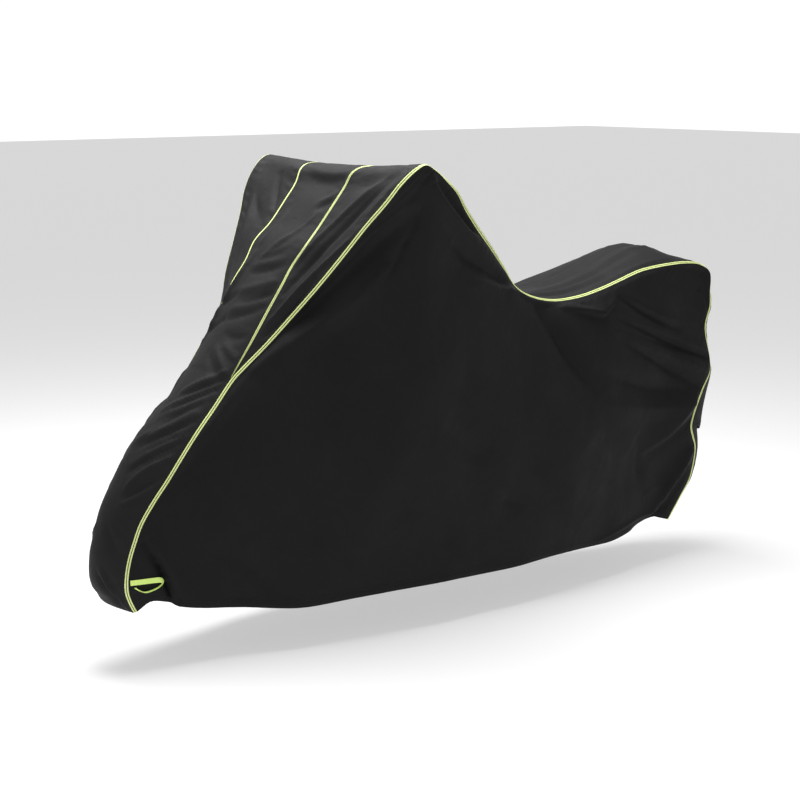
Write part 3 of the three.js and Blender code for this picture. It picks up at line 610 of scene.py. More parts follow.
def branch_widths(fine):
    steps = (STEPS["chest"] + STEPS["crest"]) * fine + 1
    return BRANCH_TIP + (BRANCH_WIDTH - BRANCH_TIP) * np.clip(np.arange(steps) / (3 * fine), 0, 1)


main_route = Route(SEAM)
coarse = main_frames(1)
root_offset = PIPING_WIDTH / 2 + GUSSET_TIP + 2 * GAP + BRANCH_TIP / 2
root = coarse.points[STEPS["nose"]] - root_offset * coarse.across[STEPS["nose"]]
root_tilt = next(row["tilt"] for row in SEAM if row["place"] == "junction")
root_row = {"place": "junction", "x": root[0], "y": root[1], "z": root[2], "tilt": root_tilt}
branch_route = Route([root_row, *BRANCH])
main = main_frames(FINE)
branch = branch_frames(FINE, main)
JUNCTION = STEPS["nose"] * FINE
PEAK = JUNCTION + STEPS["chest"] * FINE
CROSS = PEAK + STEPS["crest"] * FINE
TAIL = PEAK + STEPS["top"] * FINE


def smooth_table(rows, key, column, values):
    """A smooth reading through a table's rows, by a rising column."""
    keys = np.array([row[key] for row in rows], float)
    heights = np.array([row[column] for row in rows], float)
    slopes = np.gradient(heights, keys)
    slopes[1:-1] = (heights[2:] - heights[:-2]) / (keys[2:] - keys[:-2])
    values = np.clip(values, keys[0], keys[-1])
    k = np.clip(np.searchsorted(keys, values, side="right") - 1, 0, len(keys) - 2)
    span = keys[k + 1] - keys[k]
    t = (values - keys[k]) / span
    return hermite(t, heights[k], span * slopes[k], heights[k + 1], span * slopes[k + 1])


def crown_reader(rows, route):
    """Readings of a crown table by distance along the seam, eased between its rows."""
    reaches = [route.reach(row["place"]) for row in rows]

    def read(column, distances):
        return np.interp(distances, reaches, [row[column] for row in rows])

    return read


def fold_lift(fold, a, b):
    """How far one fold lifts the cloth at places in its own view."""
    run_a, run_b = fold["a1"] - fold["a0"], fold["b1"] - fold["b0"]
    length = math.hypot(run_a, run_b)
    off_a, off_b = a - fold["a0"], b - fold["b0"]
    t = np.clip((off_a * run_a + off_b * run_b) / length**2, 0, 1)
    away = (off_b * run_a - off_a * run_b) / length - fold["bow"] * 4 * t * (1 - t)
    width = np.where(away > 0, fold["left"], fold["right"])
    soft = np.exp(-((away / width) ** 2))
    edge = 0.12
    crease = np.exp(-(np.sqrt((away / width) ** 2 + edge**2) - edge) * 1.5)
    profile = soft * (1 - fold["crisp"]) + crease * fold["crisp"]
    peak = fold["peak"]
    rise, fall = 1.2 * peak, 1.2 * (1 - peak)
    taper = (t / peak) ** rise * ((1 - t) / (1 - peak)) ** fall
    return fold["out"] * profile * taper


def fold_sum(folds, side, a, b):
    return sum((fold_lift(fold, a, b) for fold in folds if fold["side"] in (0, side)), np.zeros_like(a))


def swell(along, up, side):
    return sum(wave["out"] * np.sin(along / wave["along"] * 2 * math.pi + wave["turn"] * side)
               * np.cos(up / wave["up"] * 2 * math.pi + wave["turn"]) for wave in SWELLS)


def noise(a, b, size, seed):
    """Smooth noise between -1 and 1 on a lattice of random slopes."""
    slopes = np.random.default_rng(seed).normal(size=(64, 64, 2))
    a, b = a / size + 1000, b / size + 1000
    i, j = np.floor(a).astype(int), np.floor(b).astype(int)
    u, v = a - i, b - j
    ease_u, ease_v = (t * t * t * (t * (t * 6 - 15) + 10) for t in (u, v))

    def corner(k, m):
        slope = slopes[(i + k) % 64, (j + m) % 64]
        return slope[..., 0] * (u - k) + slope[..., 1] * (v - m)

    near = corner(0, 0) * (1 - ease_u) + corner(1, 0) * ease_u
    far = corner(0, 1) * (1 - ease_u) + corner(1, 1) * ease_u
    return near * (1 - ease_v) + far * ease_v


def crinkle(a, b, seed):
    """Small creases: ridged noise, bent by slower noise so that none runs straight."""
    bend_a = 30 * noise(a, b, 140, seed + 1)
    bend_b = 30 * noise(a, b, 140, seed + 2)
    where = np.clip(0.5 + noise(a, b, 260, seed + 3), 0.1, 1)
    total = np.zeros_like(a)
    for k, level in enumerate(CRINKLES):
        waves = noise(a + bend_a, b * 0.8 + bend_b, level["size"], seed + level["seed"] + k)
        total += level["out"] * (1 - 2.4 * np.abs(waves))
    return total * where


def pucker(distance_from_seam, distance_along, seed):
    """The small gathers that sewing leaves across a seam."""
    along = distance_along + 14 * noise(distance_along, distance_from_seam, 60, seed)
    gather = (np.sin(along / PUCKER_PITCH * 2 * math.pi)
              + 0.5 * np.sin(along / PUCKER_PITCH * 3.3 * math.pi + 1))
    strength = 0.5 + np.abs(noise(distance_along, 0 * distance_along, 170, seed + 5)) * 1.6
    near = np.exp(-((distance_from_seam / PUCKER_REACH) ** 2)) * np.clip(distance_from_seam / 5, 0, 1)
    return PUCKER_RISE * gather * strength * near


def grid_normals(grid):
    down = np.gradient(grid, axis=0)
    right = np.gradient(grid, axis=1)
    return unit(np.cross(down, right))


def facing(normals, way):
    turn = np.sign((normals * way).sum(axis=-1, keepdims=True))
    return normals * np.where(turn == 0, 1, turn)


def new_object(name, points, faces, body="root", uv=None):
    """A mesh object from points in millimetres above the ground, riding on a body of the frame."""
    mesh = bpy.data.meshes.new(name)
    mesh.from_pydata(((points - ORIGIN) * METRES).tolist(), [], faces)
    mesh.validate()
    if uv is not None:
        layer = mesh.uv_layers.new(name="cloth")
        corners = np.empty(len(mesh.loops), int)
        mesh.loops.foreach_get("vertex_index", corners)
        layer.data.foreach_set("uv", (uv[corners] * METRES).ravel())
    piece = bpy.data.objects.new(name, mesh)
    bpy.context.scene.collection.objects.link(piece)
    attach(piece, body)
    return piece


def shade_smooth(piece, angle):
    piece.data.polygons.foreach_set("use_smooth", [True] * len(piece.data.polygons))
    piece.data.set_sharp_from_angle(angle=math.radians(angle))


def cloth_sheet(name, grid, faces, uv, material):
    """One closed sheet from a grid of middle points and the way each faces."""
    rows, columns = grid.shape[:2]
    flat, outward = grid.reshape(-1, 3), faces.reshape(-1, 3)
    half = CLOTH_THICK / 2
    points = np.vstack([flat + half * outward, flat - half * outward])
    number = np.arange(rows * columns).reshape(rows, columns)
    quads = np.stack([number[:-1, :-1], number[1:, :-1], number[1:, 1:], number[:-1, 1:]], axis=-1)
    quads = quads.reshape(-1, 4)
    middle = rows // 2, columns // 2
    turned = (grid_normals(grid)[middle] * faces[middle]).sum() < 0
    if turned:
        quads = quads[:, ::-1]
    under = quads[:, ::-1] + rows * columns
    rim = np.concatenate([number[:-1, 0], number[-1, :-1], number[:0:-1, -1], number[0, :0:-1]])
    after = np.roll(rim, -1)
    ring = np.stack([rim, rim + rows * columns, after + rows * columns, after], axis=-1)
    if turned:
        ring = ring[:, ::-1]
    sheet = new_object(name, points, np.vstack([quads, under, ring]).tolist(), uv=np.vstack([uv, uv]))
    shade_smooth(sheet, CLOTH_ANGLE)
    sheet.data.materials.append(material)
    return sheet


def hem_shape(distance):
    """The doubled hem: a step up, and a row of stitching that draws it in."""
    step = HEM_STEP / (1 + np.exp((distance - HEM_DEPTH) / HEM_SOFTNESS))
    draw = HEM_DRAW * np.exp(-(((distance - HEM_ROW) / HEM_DRAW_REACH) ** 2))
    roll = HEM_ROLL * np.exp(-((distance / HEM_ROLL_REACH) ** 2))
    return step - draw - roll


def side_surface(side):
    """The middle surface of a side panel, from the hem up, and the way it faces."""
    edge = main.edge(PIPING_WIDTH, 1)
    steps = STEPS["top"] * FINE
    left, top, right = edge[:PEAK + 1], edge[PEAK:TAIL + 1], edge[TAIL:][::-1]
    hem_rows = [dict(row, x=row["hem"], z=row["hem_height"], tilt=0) for row in GIRTH]
    hem_rows[0].update(x=left[0][0], y=left[0][1], z=left[0][2])
    hem_rows[-1].update(x=right[0][0], y=right[0][1], z=right[0][2])
    hem_route = Route(hem_rows)
    hem = hem_route.at(np.linspace(0, hem_route.length, steps + 1))[:, :3]
    u = np.linspace(0, 1, steps + 1)[:, None, None]
    v = np.concatenate([HEM_SHARES, np.linspace(HEM_SHARES[-1], 1, PEAK - 5)[1:]])
    left, right = (resampled(line, v) for line in (left, right))
    v = v[None, :, None]
    corners = (1 - v) * ((1 - u) * left[0] + u * right[0]) + v * ((1 - u) * top[0] + u * top[-1])
    grid = (1 - v) * hem[:, None] + v * top[:, None] + (1 - u) * left[None] + u * right[None] - corners
    seam_line = edge[:, 1:]
    away = np.array([np.linalg.norm(row[:, None, 1:] - seam_line[None], axis=-1).min(axis=1)
                     for row in grid])
    share = 1 - np.exp(-away / FORM_REACH)
    grid[..., 0] += (form_width(grid) - grid[..., 0]) * share
    outward = facing(grid_normals(grid), np.array([1.0, 0, 0]))
    y, z = grid[..., 1].copy(), grid[..., 2].copy()
    fade = eased(away / SIDE_FADE)
    above_hem = np.linalg.norm(grid - hem[:, None], axis=-1)
    lift = fold_sum(SIDE_FOLDS, side, y, z) + swell(y, z, side)
    lift += crinkle(y, z, 100 + side) * np.clip(away / 60, 0.25, 1)
    grid += ((lift + pucker(away, y - z, 7 + side)) * fade)[..., None] * outward
    grid += (hem_shape(above_hem) * np.clip(away / 12, 0, 1))[..., None] * outward
    faces = facing(grid_normals(grid), np.array([1.0, 0, 0]))
    faces[0] = resampled(main.face[:PEAK + 1], v.ravel())
    faces[-1] = resampled(main.face[TAIL:][::-1], v.ravel())
    faces[:, -1] = main.face[PEAK:TAIL + 1]
    return grid, unit(faces), np.stack([y, z], axis=-1).reshape(-1, 2)


def resampled(line, shares):
    """A line of points or directions, read again at other shares of its steps."""
    index = np.linspace(0, 1, len(line))
    return np.stack([np.interp(shares, index, line[:, k]) for k in range(3)], axis=-1)


def form_width(grid):
    """The half width of what the side panels lie over, by the height."""
    y, z = grid[..., 1], grid[..., 2]
    levels = [smooth_table(GIRTH, "y", "hem_height", y), WAIST_HEIGHT, SHOULDER_HEIGHT]
    widths = [smooth_table(GIRTH, "y", column, y) for column in ("hem", "waist", "shoulder")]
    total = 0
    for k, width in enumerate(widths):
        for other in range(3):
            if other != k:
                width = width * (z - levels[other]) / (levels[k] - levels[other])
        total = total + width
    return total


def centre_rows(frames, width, out, square, columns):
    """Cross sections of a centre panel between a seam and its mirror image."""
    edge = frames.edge(width, -1)
    even = np.linspace(-1, 1, columns + 1)
    c = (0.65 * even + 0.35 * np.sin(even * math.pi / 2))[None, :]
    rows = np.stack([edge[:, :1] * c, np.repeat(edge[:, 1:2], columns + 1, 1),
                     np.repeat(edge[:, 2:], columns + 1, 1)], axis=-1)
    crown = out[:, None] * (1 - np.abs(c) ** square[:, None])
    return rows + crown[..., None] * frames.front[:, None]


def row_lengths(grid):
    """How far along its row each point of a grid is."""
    steps = np.linalg.norm(np.diff(grid, axis=1), axis=-1)
    return np.concatenate([np.zeros((len(grid), 1)), np.cumsum(steps, axis=1)], axis=1)


def seam_distance(grid):
    """How far each point is from the nearer of its row's two ends, across the cloth."""
    reach = row_lengths(grid)
    return np.minimum(reach, reach[:, -1:] - reach)


def finish_centre(grid, frames, lift, seed, hem_rows=None):
    away = seam_distance(grid)
    fade = eased(away / CENTRE_FADE)
    along = np.repeat(frames.distances[:, None], grid.shape[1], 1)
    total = lift + crinkle(grid[..., 0], along, seed) * np.clip(away / 40, 0.2, 1)
    total = total + pucker(away, along + 37 * np.sign(grid[..., 0]), seed + 9)
    grid = grid + (total * fade)[..., None] * frames.front[:, None]
    if hem_rows is not None:
        grid = grid + (hem_shape(hem_rows) * np.clip(away / 8, 0, 1))[..., None] * frames.front[:, None]
    faces = facing(grid_normals(grid), frames.front[:, None])
    faces[:, -1], faces[:, 0] = frames.face, mirrored(frames.face)
    return grid, faces, np.stack([grid[..., 0], along], axis=-1).reshape(-1, 2)


def front_surface():
    """The front panel, up the nose and between the branch seams to the cross seam."""
    low = main.part(0, JUNCTION)
    crown = crown_reader(CROWN, main_route)
    low_rows = centre_rows(low, PIPING_WIDTH, crown("out", low.distances),
                           crown("square", low.distances), FRONT_COLUMNS)
    junction_row = next(row for row in CROWN if row["place"] == "junction")
    high_crown = crown_reader([junction_row, *BRANCH_CROWN], branch_route)
    high_rows = centre_rows(branch, branch_widths(FINE), high_crown("out", branch.distances),
                            high_crown("square", branch.distances), FRONT_COLUMNS)
    grid = np.concatenate([low_rows, high_rows])
    whole = low.joined(branch)
    whole.distances[len(low.distances):] += main.distances[JUNCTION]
    x, z = grid[..., 0], grid[..., 2]
    both = [fold for fold in FRONT_FOLDS if fold["side"] == 0]
    near, far = ([fold for fold in FRONT_FOLDS if fold["side"] == side and fold["a0"] < GUSSET_START]
                 for side in (1, -1))
    lift = fold_sum(both, 0, np.abs(x), z) + fold_sum(near, 1, x, z) + fold_sum(far, -1, -x, z)
    return finish_centre(grid, whole, lift, 300, whole.distances[:, None] + 0 * x)


def top_surface():
    """The panel from the cross seam over the dip and the tail to the tail hem."""
    frames = main.part(CROSS)
    crown = crown_reader(CROWN, main_route)
    grid = centre_rows(frames, PIPING_WIDTH, crown("out", frames.distances),
                       crown("square", frames.distances), TOP_COLUMNS)
    start = cross_row(grid[0])
    blend = np.clip(1 - np.arange(len(grid)) / FINE, 0, 1)[:, None, None]
    grid = grid + blend * (start - grid[0])[None]
    along = np.repeat(frames.distances[:, None], TOP_COLUMNS + 1, 1)
    lift = fold_sum(TOP_FOLDS, 0, grid[..., 0], along)
    lift = lift * np.clip(np.arange(len(grid)) / (2 * FINE), 0, 1)[:, None]
    return finish_centre(grid, frames, lift, 500, frames.distances[-1] - along)


def cross_row(row):
    """The top panel's front edge follows the ends of the front panel and the gussets."""
    def onward(start, end):
        return start + CROSS_GAP * unit(end - start)

    outer = onward(main.edge(PIPING_WIDTH, -1)[CROSS], main.edge(PIPING_WIDTH, -1)[CROSS + FINE])
    inner = onward(branch.points[-1], 2 * branch.points[-1] - branch.points[-1 - FINE])
    x = row[:, 0] / row[-1, 0] * outer[0]
    t = np.clip((np.abs(x) - inner[0]) / (outer[0] - inner[0]), 0, 1)
    y, z = (inner[k] + (outer[k] - inner[k]) * t for k in (1, 2))
    return np.stack([x, y, z], axis=-1)


def gusset_surface(side):
    """The gusset between the branch seam and the main seam."""
    inner = branch.edge(branch_widths(FINE), 1)
    outer = main.edge(PIPING_WIDTH, -1)[JUNCTION:CROSS + 1]
    t = np.linspace(0, 1, GUSSET_COLUMNS + 1)[None, :, None]
    grid = (1 - t) * inner[:, None] + t * outer[:, None]
    away = seam_distance(grid)
    fade = eased(away / CENTRE_FADE)
    along = np.repeat(branch.distances[:, None], GUSSET_COLUMNS + 1, 1)
    folds = [fold for fold in FRONT_FOLDS if fold["side"] == side and fold["a0"] > GUSSET_START]
    lift = fold_sum(folds, side, grid[..., 0], grid[..., 2])
    lift += crinkle(grid[..., 0], along, 700 + side) * np.clip(away / 40, 0.2, 1)
    lift += pucker(away, along, 60 + side)
    grid = grid + (lift * fade)[..., None] * branch.front[:, None]
    faces = facing(grid_normals(grid), branch.front[:, None])
    faces[:, 0], faces[:, -1] = branch.face, main.face[JUNCTION:CROSS + 1]
    return grid, faces, np.stack([grid[..., 0], along], axis=-1).reshape(-1, 2)


def on_side(side, surface):
    grid, faces, uv = surface
    return surface if side > 0 else (mirrored(grid), mirrored(faces), uv)


def strip(name, sections, materials, slots):
    """One closed strip through sections of points, with a material slot for each of its sides."""
    steps, corners = sections.shape[:2]
    points = sections.reshape(-1, 3)
    quads, chosen = [], []
    for k in range(steps - 1):
        for corner in range(corners):
            a, b = k * corners + corner, k * corners + (corner + 1) % corners
            quads.append([a, b, b + corners, a + corners])
            chosen.append(slots[corner])
    last = (steps - 1) * corners
    quads += [list(range(corners))[::-1], list(range(last, last + corners))]
    chosen += [slots[0], slots[0]]
    lengths = path_lengths(sections[:, 0])
    uv = np.stack([np.repeat(lengths, corners), np.tile(np.arange(corners) * 2.0, steps)], axis=-1)
    piece = new_object(name, points, quads, uv=uv)
    for material in materials:
        piece.data.materials.append(material)
    piece.data.polygons.foreach_set("material_index", chosen)
    shade_smooth(piece, TRIM_ANGLE)
    return piece


# Across the piping: two rounded cords with a flat reflective tape between them, in shares of the half
# width and of the half thickness, and whether the side that starts there is tape
PIPING_SECTION = table(["across", "out", "tape"], [
    [-1.0, -0.7, 0],
    [1.0, -0.7, 0],
    [1.0, 0.2, 0],
    [0.9, 0.75, 0],
    [0.68, 1.0, 0],
    [0.42, 0.9, 0],
    [0.24, 0.45, 1],
    [-0.24, 0.45, 0],
    [-0.42, 0.9, 0],
    [-0.68, 1.0, 0],
    [-0.9, 0.75, 0],
    [-1.0, 0.2, 0],
])


def piping(name, side, frames, widths, materials):
    across = np.array([row["across"] for row in PIPING_SECTION])[None, :, None]
    out = np.array([row["out"] for row in PIPING_SECTION])[None, :, None] * PIPING_THICK / 2
    across = across * widths[:, None, None] / 2
    sections = frames.points[:, None] + across * frames.across[:, None] + out * frames.face[:, None]
    slots = [row["tape"] for row in PIPING_SECTION]
    if side > 0:
        sections = sections[:, ::-1]
        slots = slots[::-1][1:] + slots[::-1][:1]
    else:
        sections = mirrored(sections)
    return strip(name, sections, materials, slots)


def loop_piece(material):
    route = Route(LOOP, "roll")
    read = route.at(np.linspace(0, route.length, LOOP_STEPS + 1))
    points = read[:, :3]
    along = unit(np.gradient(points, axis=0))
    aside = unit(np.array([1.0, -0.3, 0.0]))
    up = unit(np.cross(along, aside))
    roll = np.radians(90 - read[:, 3:])
    wide = unit(np.cos(roll) * aside + np.sin(roll) * up)
    thin = unit(np.cross(along, wide))
    half, thick = LOOP_WIDTH / 2, LOOP_THICK / 2
    outline = [(-1, -0.6), (-0.85, -1), (0.85, -1), (1, -0.6),
               (1, 0.6), (0.85, 1), (-0.85, 1), (-1, 0.6)]
    sections = np.stack([points + a * half * wide + o * thick * thin for a, o in outline], axis=1)
    return strip("webbing_loop_band", sections, [material], [0] * len(outline))


def stitches(name, path, faces, material):
    """A row of thread stitches along a path, each a short bar that dips into the cloth at its ends."""
    lengths = path_lengths(path)
    starts = np.arange(STITCH_PITCH / 2, lengths[-1] - STITCH_LENGTH, STITCH_PITCH)

    def read(values, at):
        return np.stack([np.interp(at, lengths, values[:, k]) for k in range(3)], axis=-1)

    shares = [0, 0.25, 0.75, 1]
    rises = [-0.35, 0.3, 0.3, -0.35]
    radii = [0.5, 1, 1, 0.5]
    rings = []
    for share, rise, radius in zip(shares, rises, radii):
        at = starts + share * STITCH_LENGTH
        centre, outward = read(path, at), unit(read(faces, at))
        along = unit(read(path, at + 1) - read(path, at - 1))
        side_way = unit(np.cross(along, outward))
        centre = centre + rise * STITCH_THICK * outward
        corners = [(1, 0), (0, 1), (-1, 0), (0, -1)]
        rings.append(np.stack([centre + STITCH_THICK / 2 * radius * (a * side_way + b * outward)
                               for a, b in corners], axis=1))
    points = np.stack(rings, axis=1).reshape(-1, 3)
    base = np.arange(len(starts))[:, None] * 16
    quads = [[k + c, k + (c + 1) % 4, k + 4 + (c + 1) % 4, k + 4 + c]
             for k in (0, 4, 8) for c in range(4)]
    quads += [[3, 2, 1, 0], [12, 13, 14, 15]]
    faces_all = np.concatenate([base + np.array(quad)[None] for quad in quads])
    piece = new_object(name, points, faces_all.tolist())
    shade_smooth(piece, THREAD_ANGLE)
    piece.data.materials.append(material)
    return piece


class Nodes:
    """A short way to write a material's node tree."""

    def __init__(self, name):
        self.material = bpy.data.materials.new(name)
        self.material.use_nodes = True
        self.tree = self.material.node_tree
        self.shader = self.tree.nodes["Principled BSDF"]

    def add(self, kind, inputs=(), **settings):
        node = self.tree.nodes.new(kind)
        for key, value in settings.items():
            setattr(node, key, value)
        for key, value in dict(inputs).items():
            if isinstance(value, bpy.types.NodeSocket):
                self.tree.links.new(value, node.inputs[key])
            else:
                node.inputs[key].default_value = value
        return node

    def math(self, operation, *values):
        return self.add("ShaderNodeMath", dict(enumerate(values)), operation=operation).outputs[0]

    def ramp(self, value, low, high, to_low, to_high):
        ends = {"Value": value, "From Min": low, "From Max": high, "To Min": to_low, "To Max": to_high}
        return self.add("ShaderNodeMapRange", ends).outputs[0]

    def noise(self, where, scale, detail=2.0, roughness=0.5, distortion=0.0):
        ends = {"Vector": where, "Scale": scale, "Detail": detail,
                "Roughness": roughness, "Distortion": distortion}
        return self.add("ShaderNodeTexNoise", ends).outputs["Fac"]

    def bump(self, height, distance, strength=1.0, before=None):
        ends = {"Height": height, "Distance": distance, "Strength": strength}
        if before is not None:
            ends["Normal"] = before
        return self.add("ShaderNodeBump", ends).outputs[0]


def mixed(nodes, share, one, other):
    """A colour between two, by a share."""
    node = nodes.tree.nodes.new("ShaderNodeMix")
    node.data_type = "RGBA"
    nodes.tree.links.new(share, node.inputs[0])
    for socket, value in ((node.inputs[6], one), (node.inputs[7], other)):
        if isinstance(value, bpy.types.NodeSocket):
            nodes.tree.links.new(value, socket)
        else:
            socket.default_value = value
    return node.outputs[2]


def weave_height(nodes, uv, pitch):
    """Plain weave: threads over and under, from two crossed rows of round threads."""
    split = nodes.add("ShaderNodeSeparateXYZ", {0: uv})
    turns = [nodes.math("MULTIPLY", split.outputs[k], math.pi / pitch) for k in range(2)]
    waves = [nodes.math("SINE", turn) for turn in turns]
    over = nodes.math("MULTIPLY", *waves)
    ribs = [nodes.math("ABSOLUTE", wave) for wave in waves]
    rows = nodes.math("MULTIPLY", ribs[0], ribs[1])
    return nodes.math("ADD", nodes.math("MULTIPLY", over, 0.35), rows)


def cloth_material(name, dark, light):
    nodes = Nodes(name)
    place = nodes.add("ShaderNodeTexCoord").outputs["Object"]
    uv = nodes.add("ShaderNodeUVMap", uv_map="cloth").outputs["UV"]
    weave = weave_height(nodes, uv, CLOTH_PITCH)
    broad = nodes.noise(place, 3.2, 3, 0.55)
    fine = nodes.noise(place, 38, 4, 0.6)
    speckle = nodes.noise(place, 900, 1)
    tone = nodes.math("ADD", nodes.math("MULTIPLY", broad, 0.55), nodes.math("MULTIPLY", fine, 0.2))
    tone = nodes.math("ADD", tone, nodes.math("MULTIPLY", weave, 0.14))
    tone = nodes.math("ADD", tone, nodes.math("MULTIPLY", speckle, 0.12))
    shader = nodes.shader
    nodes.tree.links.new(mixed(nodes, tone, dark, light), shader.inputs["Base Color"])
    rough = nodes.ramp(nodes.noise(place, 11, 3, 0.6), 0.3, 0.7, 0.5, 0.64)
    nodes.tree.links.new(rough, shader.inputs["Roughness"])
    creases = nodes.noise(place, 26, 5, 0.62, 0.8)
    normal = nodes.bump(creases, 0.0035, 0.5)
    normal = nodes.bump(weave, 0.00012, 0.55, normal)
    nodes.tree.links.new(normal, shader.inputs["Normal"])
    shader.inputs["Specular IOR Level"].default_value = 0.05
    return nodes.material


def cord_material(name, dark, light, rough, painted_glow=0.0):
    """Woven trim with fine ribs and a little soiling. A lime or green one gets a painted glow: it gives
    off its own colour as light, though it is no lamp.
    """
    nodes = Nodes(name)
    place = nodes.add("ShaderNodeTexCoord").outputs["Object"]
    uv = nodes.add("ShaderNodeUVMap", uv_map="cloth").outputs["UV"]
    weave = weave_height(nodes, uv, TRIM_PITCH)
    wear = nodes.noise(place, 60, 3)
    tone = nodes.math("ADD", nodes.math("MULTIPLY", weave, 0.35), nodes.math("MULTIPLY", wear, 0.6))
    colour = mixed(nodes, tone, dark, light)
    nodes.tree.links.new(colour, nodes.shader.inputs["Base Color"])
    # The trim's colour is also given off as light, which is a painted glow.
    nodes.tree.links.new(colour, nodes.shader.inputs["Emission Color"])
    nodes.shader.inputs["Emission Strength"].default_value = painted_glow
    nodes.tree.links.new(nodes.bump(weave, 0.0002, 0.6), nodes.shader.inputs["Normal"])
    nodes.shader.inputs["Roughness"].default_value = rough
    nodes.shader.inputs["Specular IOR Level"].default_value = 0.35
    return nodes.material


# One black cloth in two copies. The side cloth is darker, which is painted shade for the side panels
# that face away from the light. The centre cloth is lighter, which is painted light for the panels that
# face up and to the front. Within each copy, the two colours are the ends of its random tone.
SHADED_SIDE_LOW, SHADED_SIDE_HIGH = (0.011, 0.011, 0.012, 1), (0.021, 0.021, 0.022, 1)
LIT_CENTRE_LOW, LIT_CENTRE_HIGH = (0.015, 0.015, 0.016, 1), (0.028, 0.028, 0.029, 1)
LIME_DARK, LIME_LIGHT = (0.63, 0.75, 0.24, 1), (0.90, 0.97, 0.46, 1)
TAPE_DARK, TAPE_LIGHT = (0.03, 0.035, 0.02, 1), (0.12, 0.13, 0.09, 1)
GREEN_DARK, GREEN_LIGHT = (0.58, 0.84, 0.16, 1), (0.86, 0.99, 0.34, 1)
THREAD_DARK, THREAD_LIGHT = (0.012, 0.012, 0.013, 1), (0.03, 0.03, 0.032, 1)

# Painted glow for the lime piping and the green loop, which are no lamps.
PAINTED_GLOW = 0.12

# The side copy carries painted shade and the centre copy carries painted light.
side_cloth = cloth_material("side_cloth", SHADED_SIDE_LOW, SHADED_SIDE_HIGH)
centre_cloth = cloth_material("centre_cloth", LIT_CENTRE_LOW, LIT_CENTRE_HIGH)
lime = cord_material("lime_cord", LIME_DARK, LIME_LIGHT, 0.5, PAINTED_GLOW)
tape = cord_material("reflective_tape", TAPE_DARK, TAPE_LIGHT, 0.35)
green = cord_material("green_webbing", GREEN_DARK, GREEN_LIGHT, 0.6, PAINTED_GLOW)
thread = cord_material("thread", THREAD_DARK, THREAD_LIGHT, 0.6)

# The pieces of the cover
WORDS = {1: "left", -1: "right"}
built = {}
surfaces = {}
for side, word in WORDS.items():
    surfaces[f"side_panel_{word}"] = on_side(side, side_surface(side))
    surfaces[f"gusset_{word}"] = on_side(side, gusset_surface(side))
surfaces["front_panel"] = front_surface()
surfaces["top_panel"] = top_surface()
for node, (grid, faces, uv) in surfaces.items():
    is_side = node.startswith("side")
    # Side panels get the cloth with painted shade, and the centre panels get the cloth with painted
    # light.
    built[node] = cloth_sheet(f"{node}_cloth", grid, faces, uv, side_cloth if is_side else centre_cloth)
main_widths = np.full(len(main.points), PIPING_WIDTH)
for side, word in WORDS.items():
    for seam, frames, widths in (("main", main, main_widths), ("branch", branch, branch_widths(FINE))):
        node = f"piping_{seam}_{word}"
        built[node] = piping(f"{node}_trim", side, frames, widths, [lime, tape])
built["webbing_loop"] = loop_piece(green)
for node, piece in built.items():
    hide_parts(node)

# Rows of thread beside the seams and along the hems: how far in from the near or the far end of the
# piece's rows, or of its columns where axis is 0, and the steps left off at the row's start and end
SEWING = table(["piece", "name", "far", "inset", "axis", "skip", "drop"], [
    ["side_panel", "hem_row", False, HEM_ROW, 1, 0, 0],
    ["side_panel", "top_row", True, STITCH_INSET, 1, 0, 0],
    ["side_panel", "nose_row", False, STITCH_INSET, 0, 0, 0],
    ["side_panel", "tail_row", True, STITCH_INSET, 0, 0, 0],
    ["gusset", "inner_row", False, STITCH_INSET, 1, 3 * FINE, 0],
    ["gusset", "outer_row", True, STITCH_INSET, 1, 3 * FINE, 0],
    ["gusset", "cross_row", True, STITCH_INSET, 0, 2, 2],
    ["front_panel", "inner_row", False, STITCH_INSET, 1, 0, 0],
    ["front_panel", "outer_row", True, STITCH_INSET, 1, 0, 0],
    ["front_panel", "cross_row", True, STITCH_INSET, 0, 2, 2],
    ["front_panel", "hem_row", False, HEM_ROW, 0, 0, 0],
    ["top_panel", "inner_row", False, STITCH_INSET, 1, 0, 0],
    ["top_panel", "outer_row", True, STITCH_INSET, 1, 0, 0],
    ["top_panel", "cross_row", False, STITCH_INSET, 0, 0, 0],
    ["top_panel", "hem_row", True, HEM_ROW, 0, 0, 0],
])
sewn = {node: [] for node in surfaces}


def sew(node, name, path, faces):
    kept = np.concatenate([[True], np.linalg.norm(path[1:] - path[:-1], axis=1) > 0.01])
    row = stitches(f"{node}_{name}", path[kept] + CLOTH_THICK / 2 * faces[kept], faces[kept], thread)
    sewn[node].append(row)


def inset_row(grid, faces, far, inset, axis):
    """A line on a surface at a distance in from one of its edges."""
    lines = np.moveaxis(grid, axis, 1)
    ways = np.moveaxis(faces, axis, 1)
    if far:
        lines, ways = lines[:, ::-1], ways[:, ::-1]
    reach = row_lengths(lines)
    line, way = (np.array([[np.interp(inset, reach[k], values[k, :, m]) for m in range(3)]
                           for k in range(len(lines))]) for values in (lines, ways))
    return line, unit(way)


for node, (grid, faces, uv) in surfaces.items():
    for row in SEWING:
        if node.startswith(row["piece"]):
            line, way = inset_row(grid, faces, row["far"], row["inset"], row["axis"])
            kept = slice(row["skip"], len(line) - row["drop"])
            sew(node, row["name"], line[kept], way[kept])

# The floor, the light and the camera
bpy.ops.mesh.primitive_plane_add(size=FLOOR_SIZE, location=(0, 0, -ORIGIN[2] * METRES))
floor = bpy.context.object
floor.name = "floor"
paper = Nodes("paper")
paper.shader.inputs["Base Color"].default_value = PAPER_COLOUR
paper.shader.inputs["Roughness"].default_value = PAPER_ROUGH
paper.shader.inputs["Specular IOR Level"].default_value = PAPER_GLOSS
paper.shader.inputs["Emission Color"].default_value = WHITE
paper.shader.inputs["Emission Strength"].default_value = PAPER_GLOW
floor.data.materials.append(paper.material)

scene = bpy.context.scene
world = bpy.data.worlds.new("studio")
scene.world = world
world.use_nodes = True
sky = world.node_tree
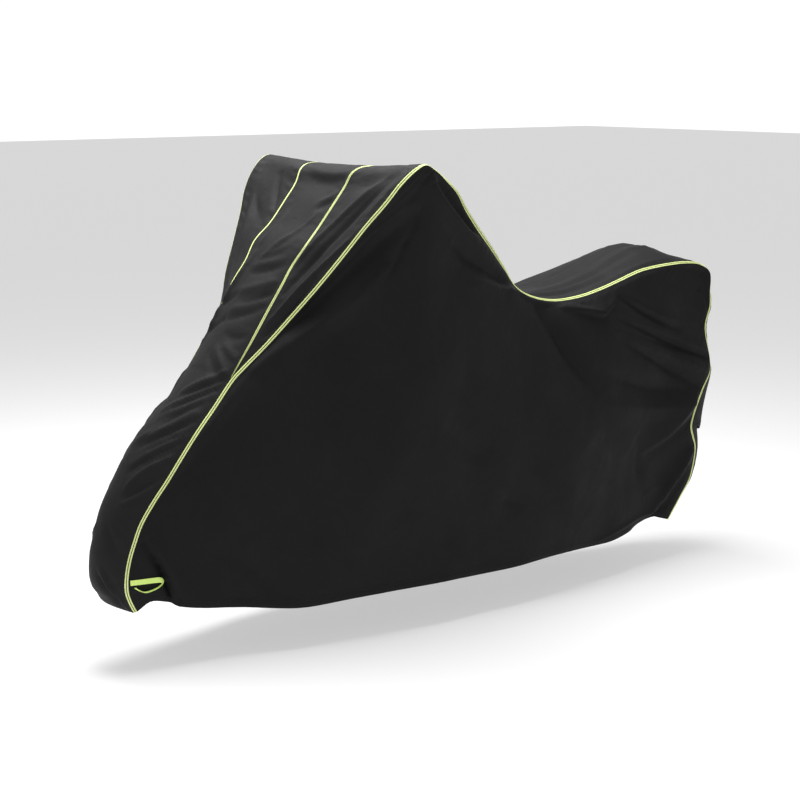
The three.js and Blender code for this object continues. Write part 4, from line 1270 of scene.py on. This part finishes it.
# White at the horizon, where the backdrop is, dimmer above and dimmest on the side away from the key
way = sky.nodes.new("ShaderNodeTexCoord").outputs["Generated"]
height = sky.nodes.new("ShaderNodeSeparateXYZ")
aside = sky.nodes.new("ShaderNodeVectorMath")
aside.operation = "DOT_PRODUCT"
aside.inputs[1].default_value = DIM_SIDE
sky.links.new(way, height.inputs[0])
sky.links.new(way, aside.inputs[0])
levels = []
for value, span, to_low, to_high in ((height.outputs[2], SKY_HEIGHTS, HORIZON_STRENGTH, SKY_STRENGTH),
                                     (aside.outputs["Value"], DIM_SPAN, 1.0, DIM_SHARE)):
    level = sky.nodes.new("ShaderNodeMapRange")
    sky.links.new(value, level.inputs["Value"])
    ends = {"From Min": span[0], "From Max": span[1], "To Min": to_low, "To Max": to_high}
    for name, end in ends.items():
        level.inputs[name].default_value = end
    levels.append(level.outputs[0])
bright = sky.nodes.new("ShaderNodeMath")
bright.operation = "MULTIPLY"
for k, level in enumerate(levels):
    sky.links.new(level, bright.inputs[k])
sky.links.new(bright.outputs[0], sky.nodes["Background"].inputs["Strength"])
sky.nodes["Background"].inputs["Color"].default_value = WHITE

softbox = bpy.data.lights.new("key", "AREA")
softbox.shape = "RECTANGLE"
softbox.size, softbox.size_y = KEY_SIZE
softbox.energy = KEY_POWER
key = bpy.data.objects.new("key", softbox)
key.location = Vector(KEY_PLACE) - Vector((ORIGIN * METRES).tolist())
key.rotation_euler = (Vector(KEY_PLACE) - Vector(KEY_AIM)).to_track_quat("Z", "Y").to_euler()
scene.collection.objects.link(key)

azimuth, elevation = math.radians(CAMERA_AZIMUTH), math.radians(CAMERA_ELEVATION)
level = math.cos(elevation)
back = Vector((math.sin(azimuth) * level, -math.cos(azimuth) * level, math.sin(elevation)))
lens = bpy.data.cameras.new("camera")
lens.lens = CAMERA_LENS
lens.sensor_width = CAMERA_SENSOR
camera = bpy.data.objects.new("camera", lens)
camera.location = Vector(CAMERA_PLACE) - Vector((ORIGIN * METRES).tolist())
camera.rotation_euler = (-back).to_track_quat("-Z", "Y").to_euler()
scene.collection.objects.link(camera)
scene.camera = camera
scene.view_settings.view_transform = "Standard"
